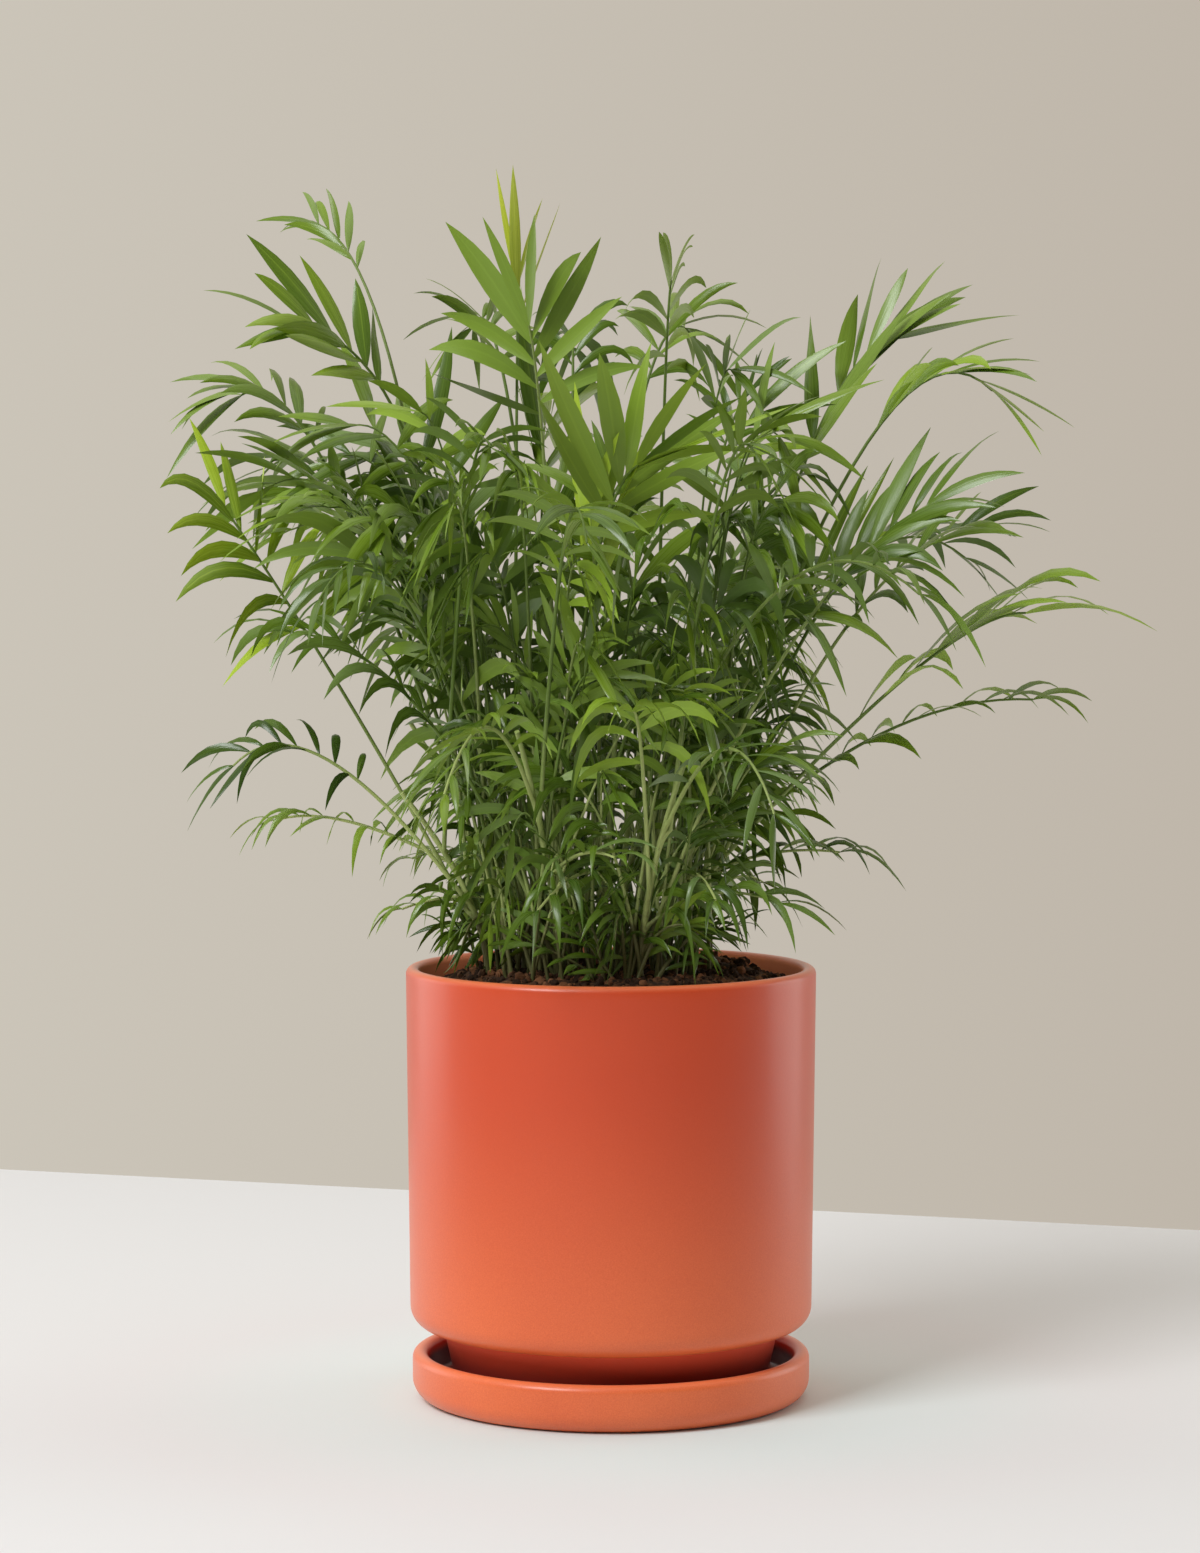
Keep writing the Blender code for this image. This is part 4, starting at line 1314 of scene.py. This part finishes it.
def leaf_green(name):
    red, green, blue = LEAF_GREENS[name]
    finish = Finish(f"leaf_{name}", {"Specular IOR Level": 0.42})
    along = finish.place(source="UV")
    u, v = finish.split(along, "X"), finish.split(along, "Y")
    tone = finish.tone()
    veins = finish.noise(finish.place(VEINS, "UV"), 1.0, 1.2)
    under = u > 1.0
    # Painted sheen: the palest leaflets are greyed on their upper side, as a reflection of the
    # surround.
    painted_sheen_mask = tone.ramp(0.62, 0.95) * (1.0 - under)
    rib_line = abs(u - 0.5 - under).fall(0.0, 0.07)
    shade = (tone * 0.95 + veins * 0.6 - 0.30 + v * 0.15).ramp(0.0, 1.0)
    dark = (0.55 * red, 0.62 * green, 0.9 * blue)
    light = (1.55 * red, 1.45 * green, 1.2 * blue)
    body = finish.mix(dark, light, shade)
    body = finish.mix(body, (1.9 * red, 1.8 * green, 3.0 * blue), rib_line * 0.35)
    body = finish.mix(body, PAINTED_SHEEN, painted_sheen_mask * 0.4)
    glow = (1.5 * red + 0.02, 1.4 * green + 0.03, blue + 0.02)
    finish.feed({"Base Color": finish.mix(body, glow, under * 0.6)})
    finish.feed({"Roughness": 0.22 + 0.12 * veins + 0.14 * under})
    finish.relief(veins - rib_line * 0.6, 0.00010, 0.4)
    return finish.material


leaf_pieces = [heap.build(f"leaves_{tone}", leaf_green(tone), 50) for tone, heap in leaf_heaps.items()]

# %% [markdown]
# ## Riding and replacing
#
# Nothing on the plant moves, so every piece rides on the one body, and the imported solids that it
# stands for are hidden. The last lines work out and print the dressed box.

# %% Hang each piece on the body and hide the solids it stands for
# (piece, slot, what the names of its nodes start with)
stands_for = [
    (pot, "matt_orange_glaze", "pot"),
    (saucer, "matt_orange_glaze", "saucer"),
    (soil, "potting_mix", "soil"),
    (crumb_piece, "potting_mix", "soil"),
    (cane_piece, "cane_green", "cane_"),
    (stalk_piece, "cane_green", "cane_"),
]
stands_for += [(piece, "leaf_green", "frond_") for piece in (rib_piece, *leaf_pieces)]
for piece, slot, start in stands_for:
    nodes = sorted(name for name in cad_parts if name.startswith(start))
    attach(piece, "root")
    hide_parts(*nodes)
print(len(stands_for), "pieces")

# %% Print the dressed box
dressed_box = [list(corner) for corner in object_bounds()]
print("dressed box", [[round(value, 4) for value in corner] for corner in dressed_box])
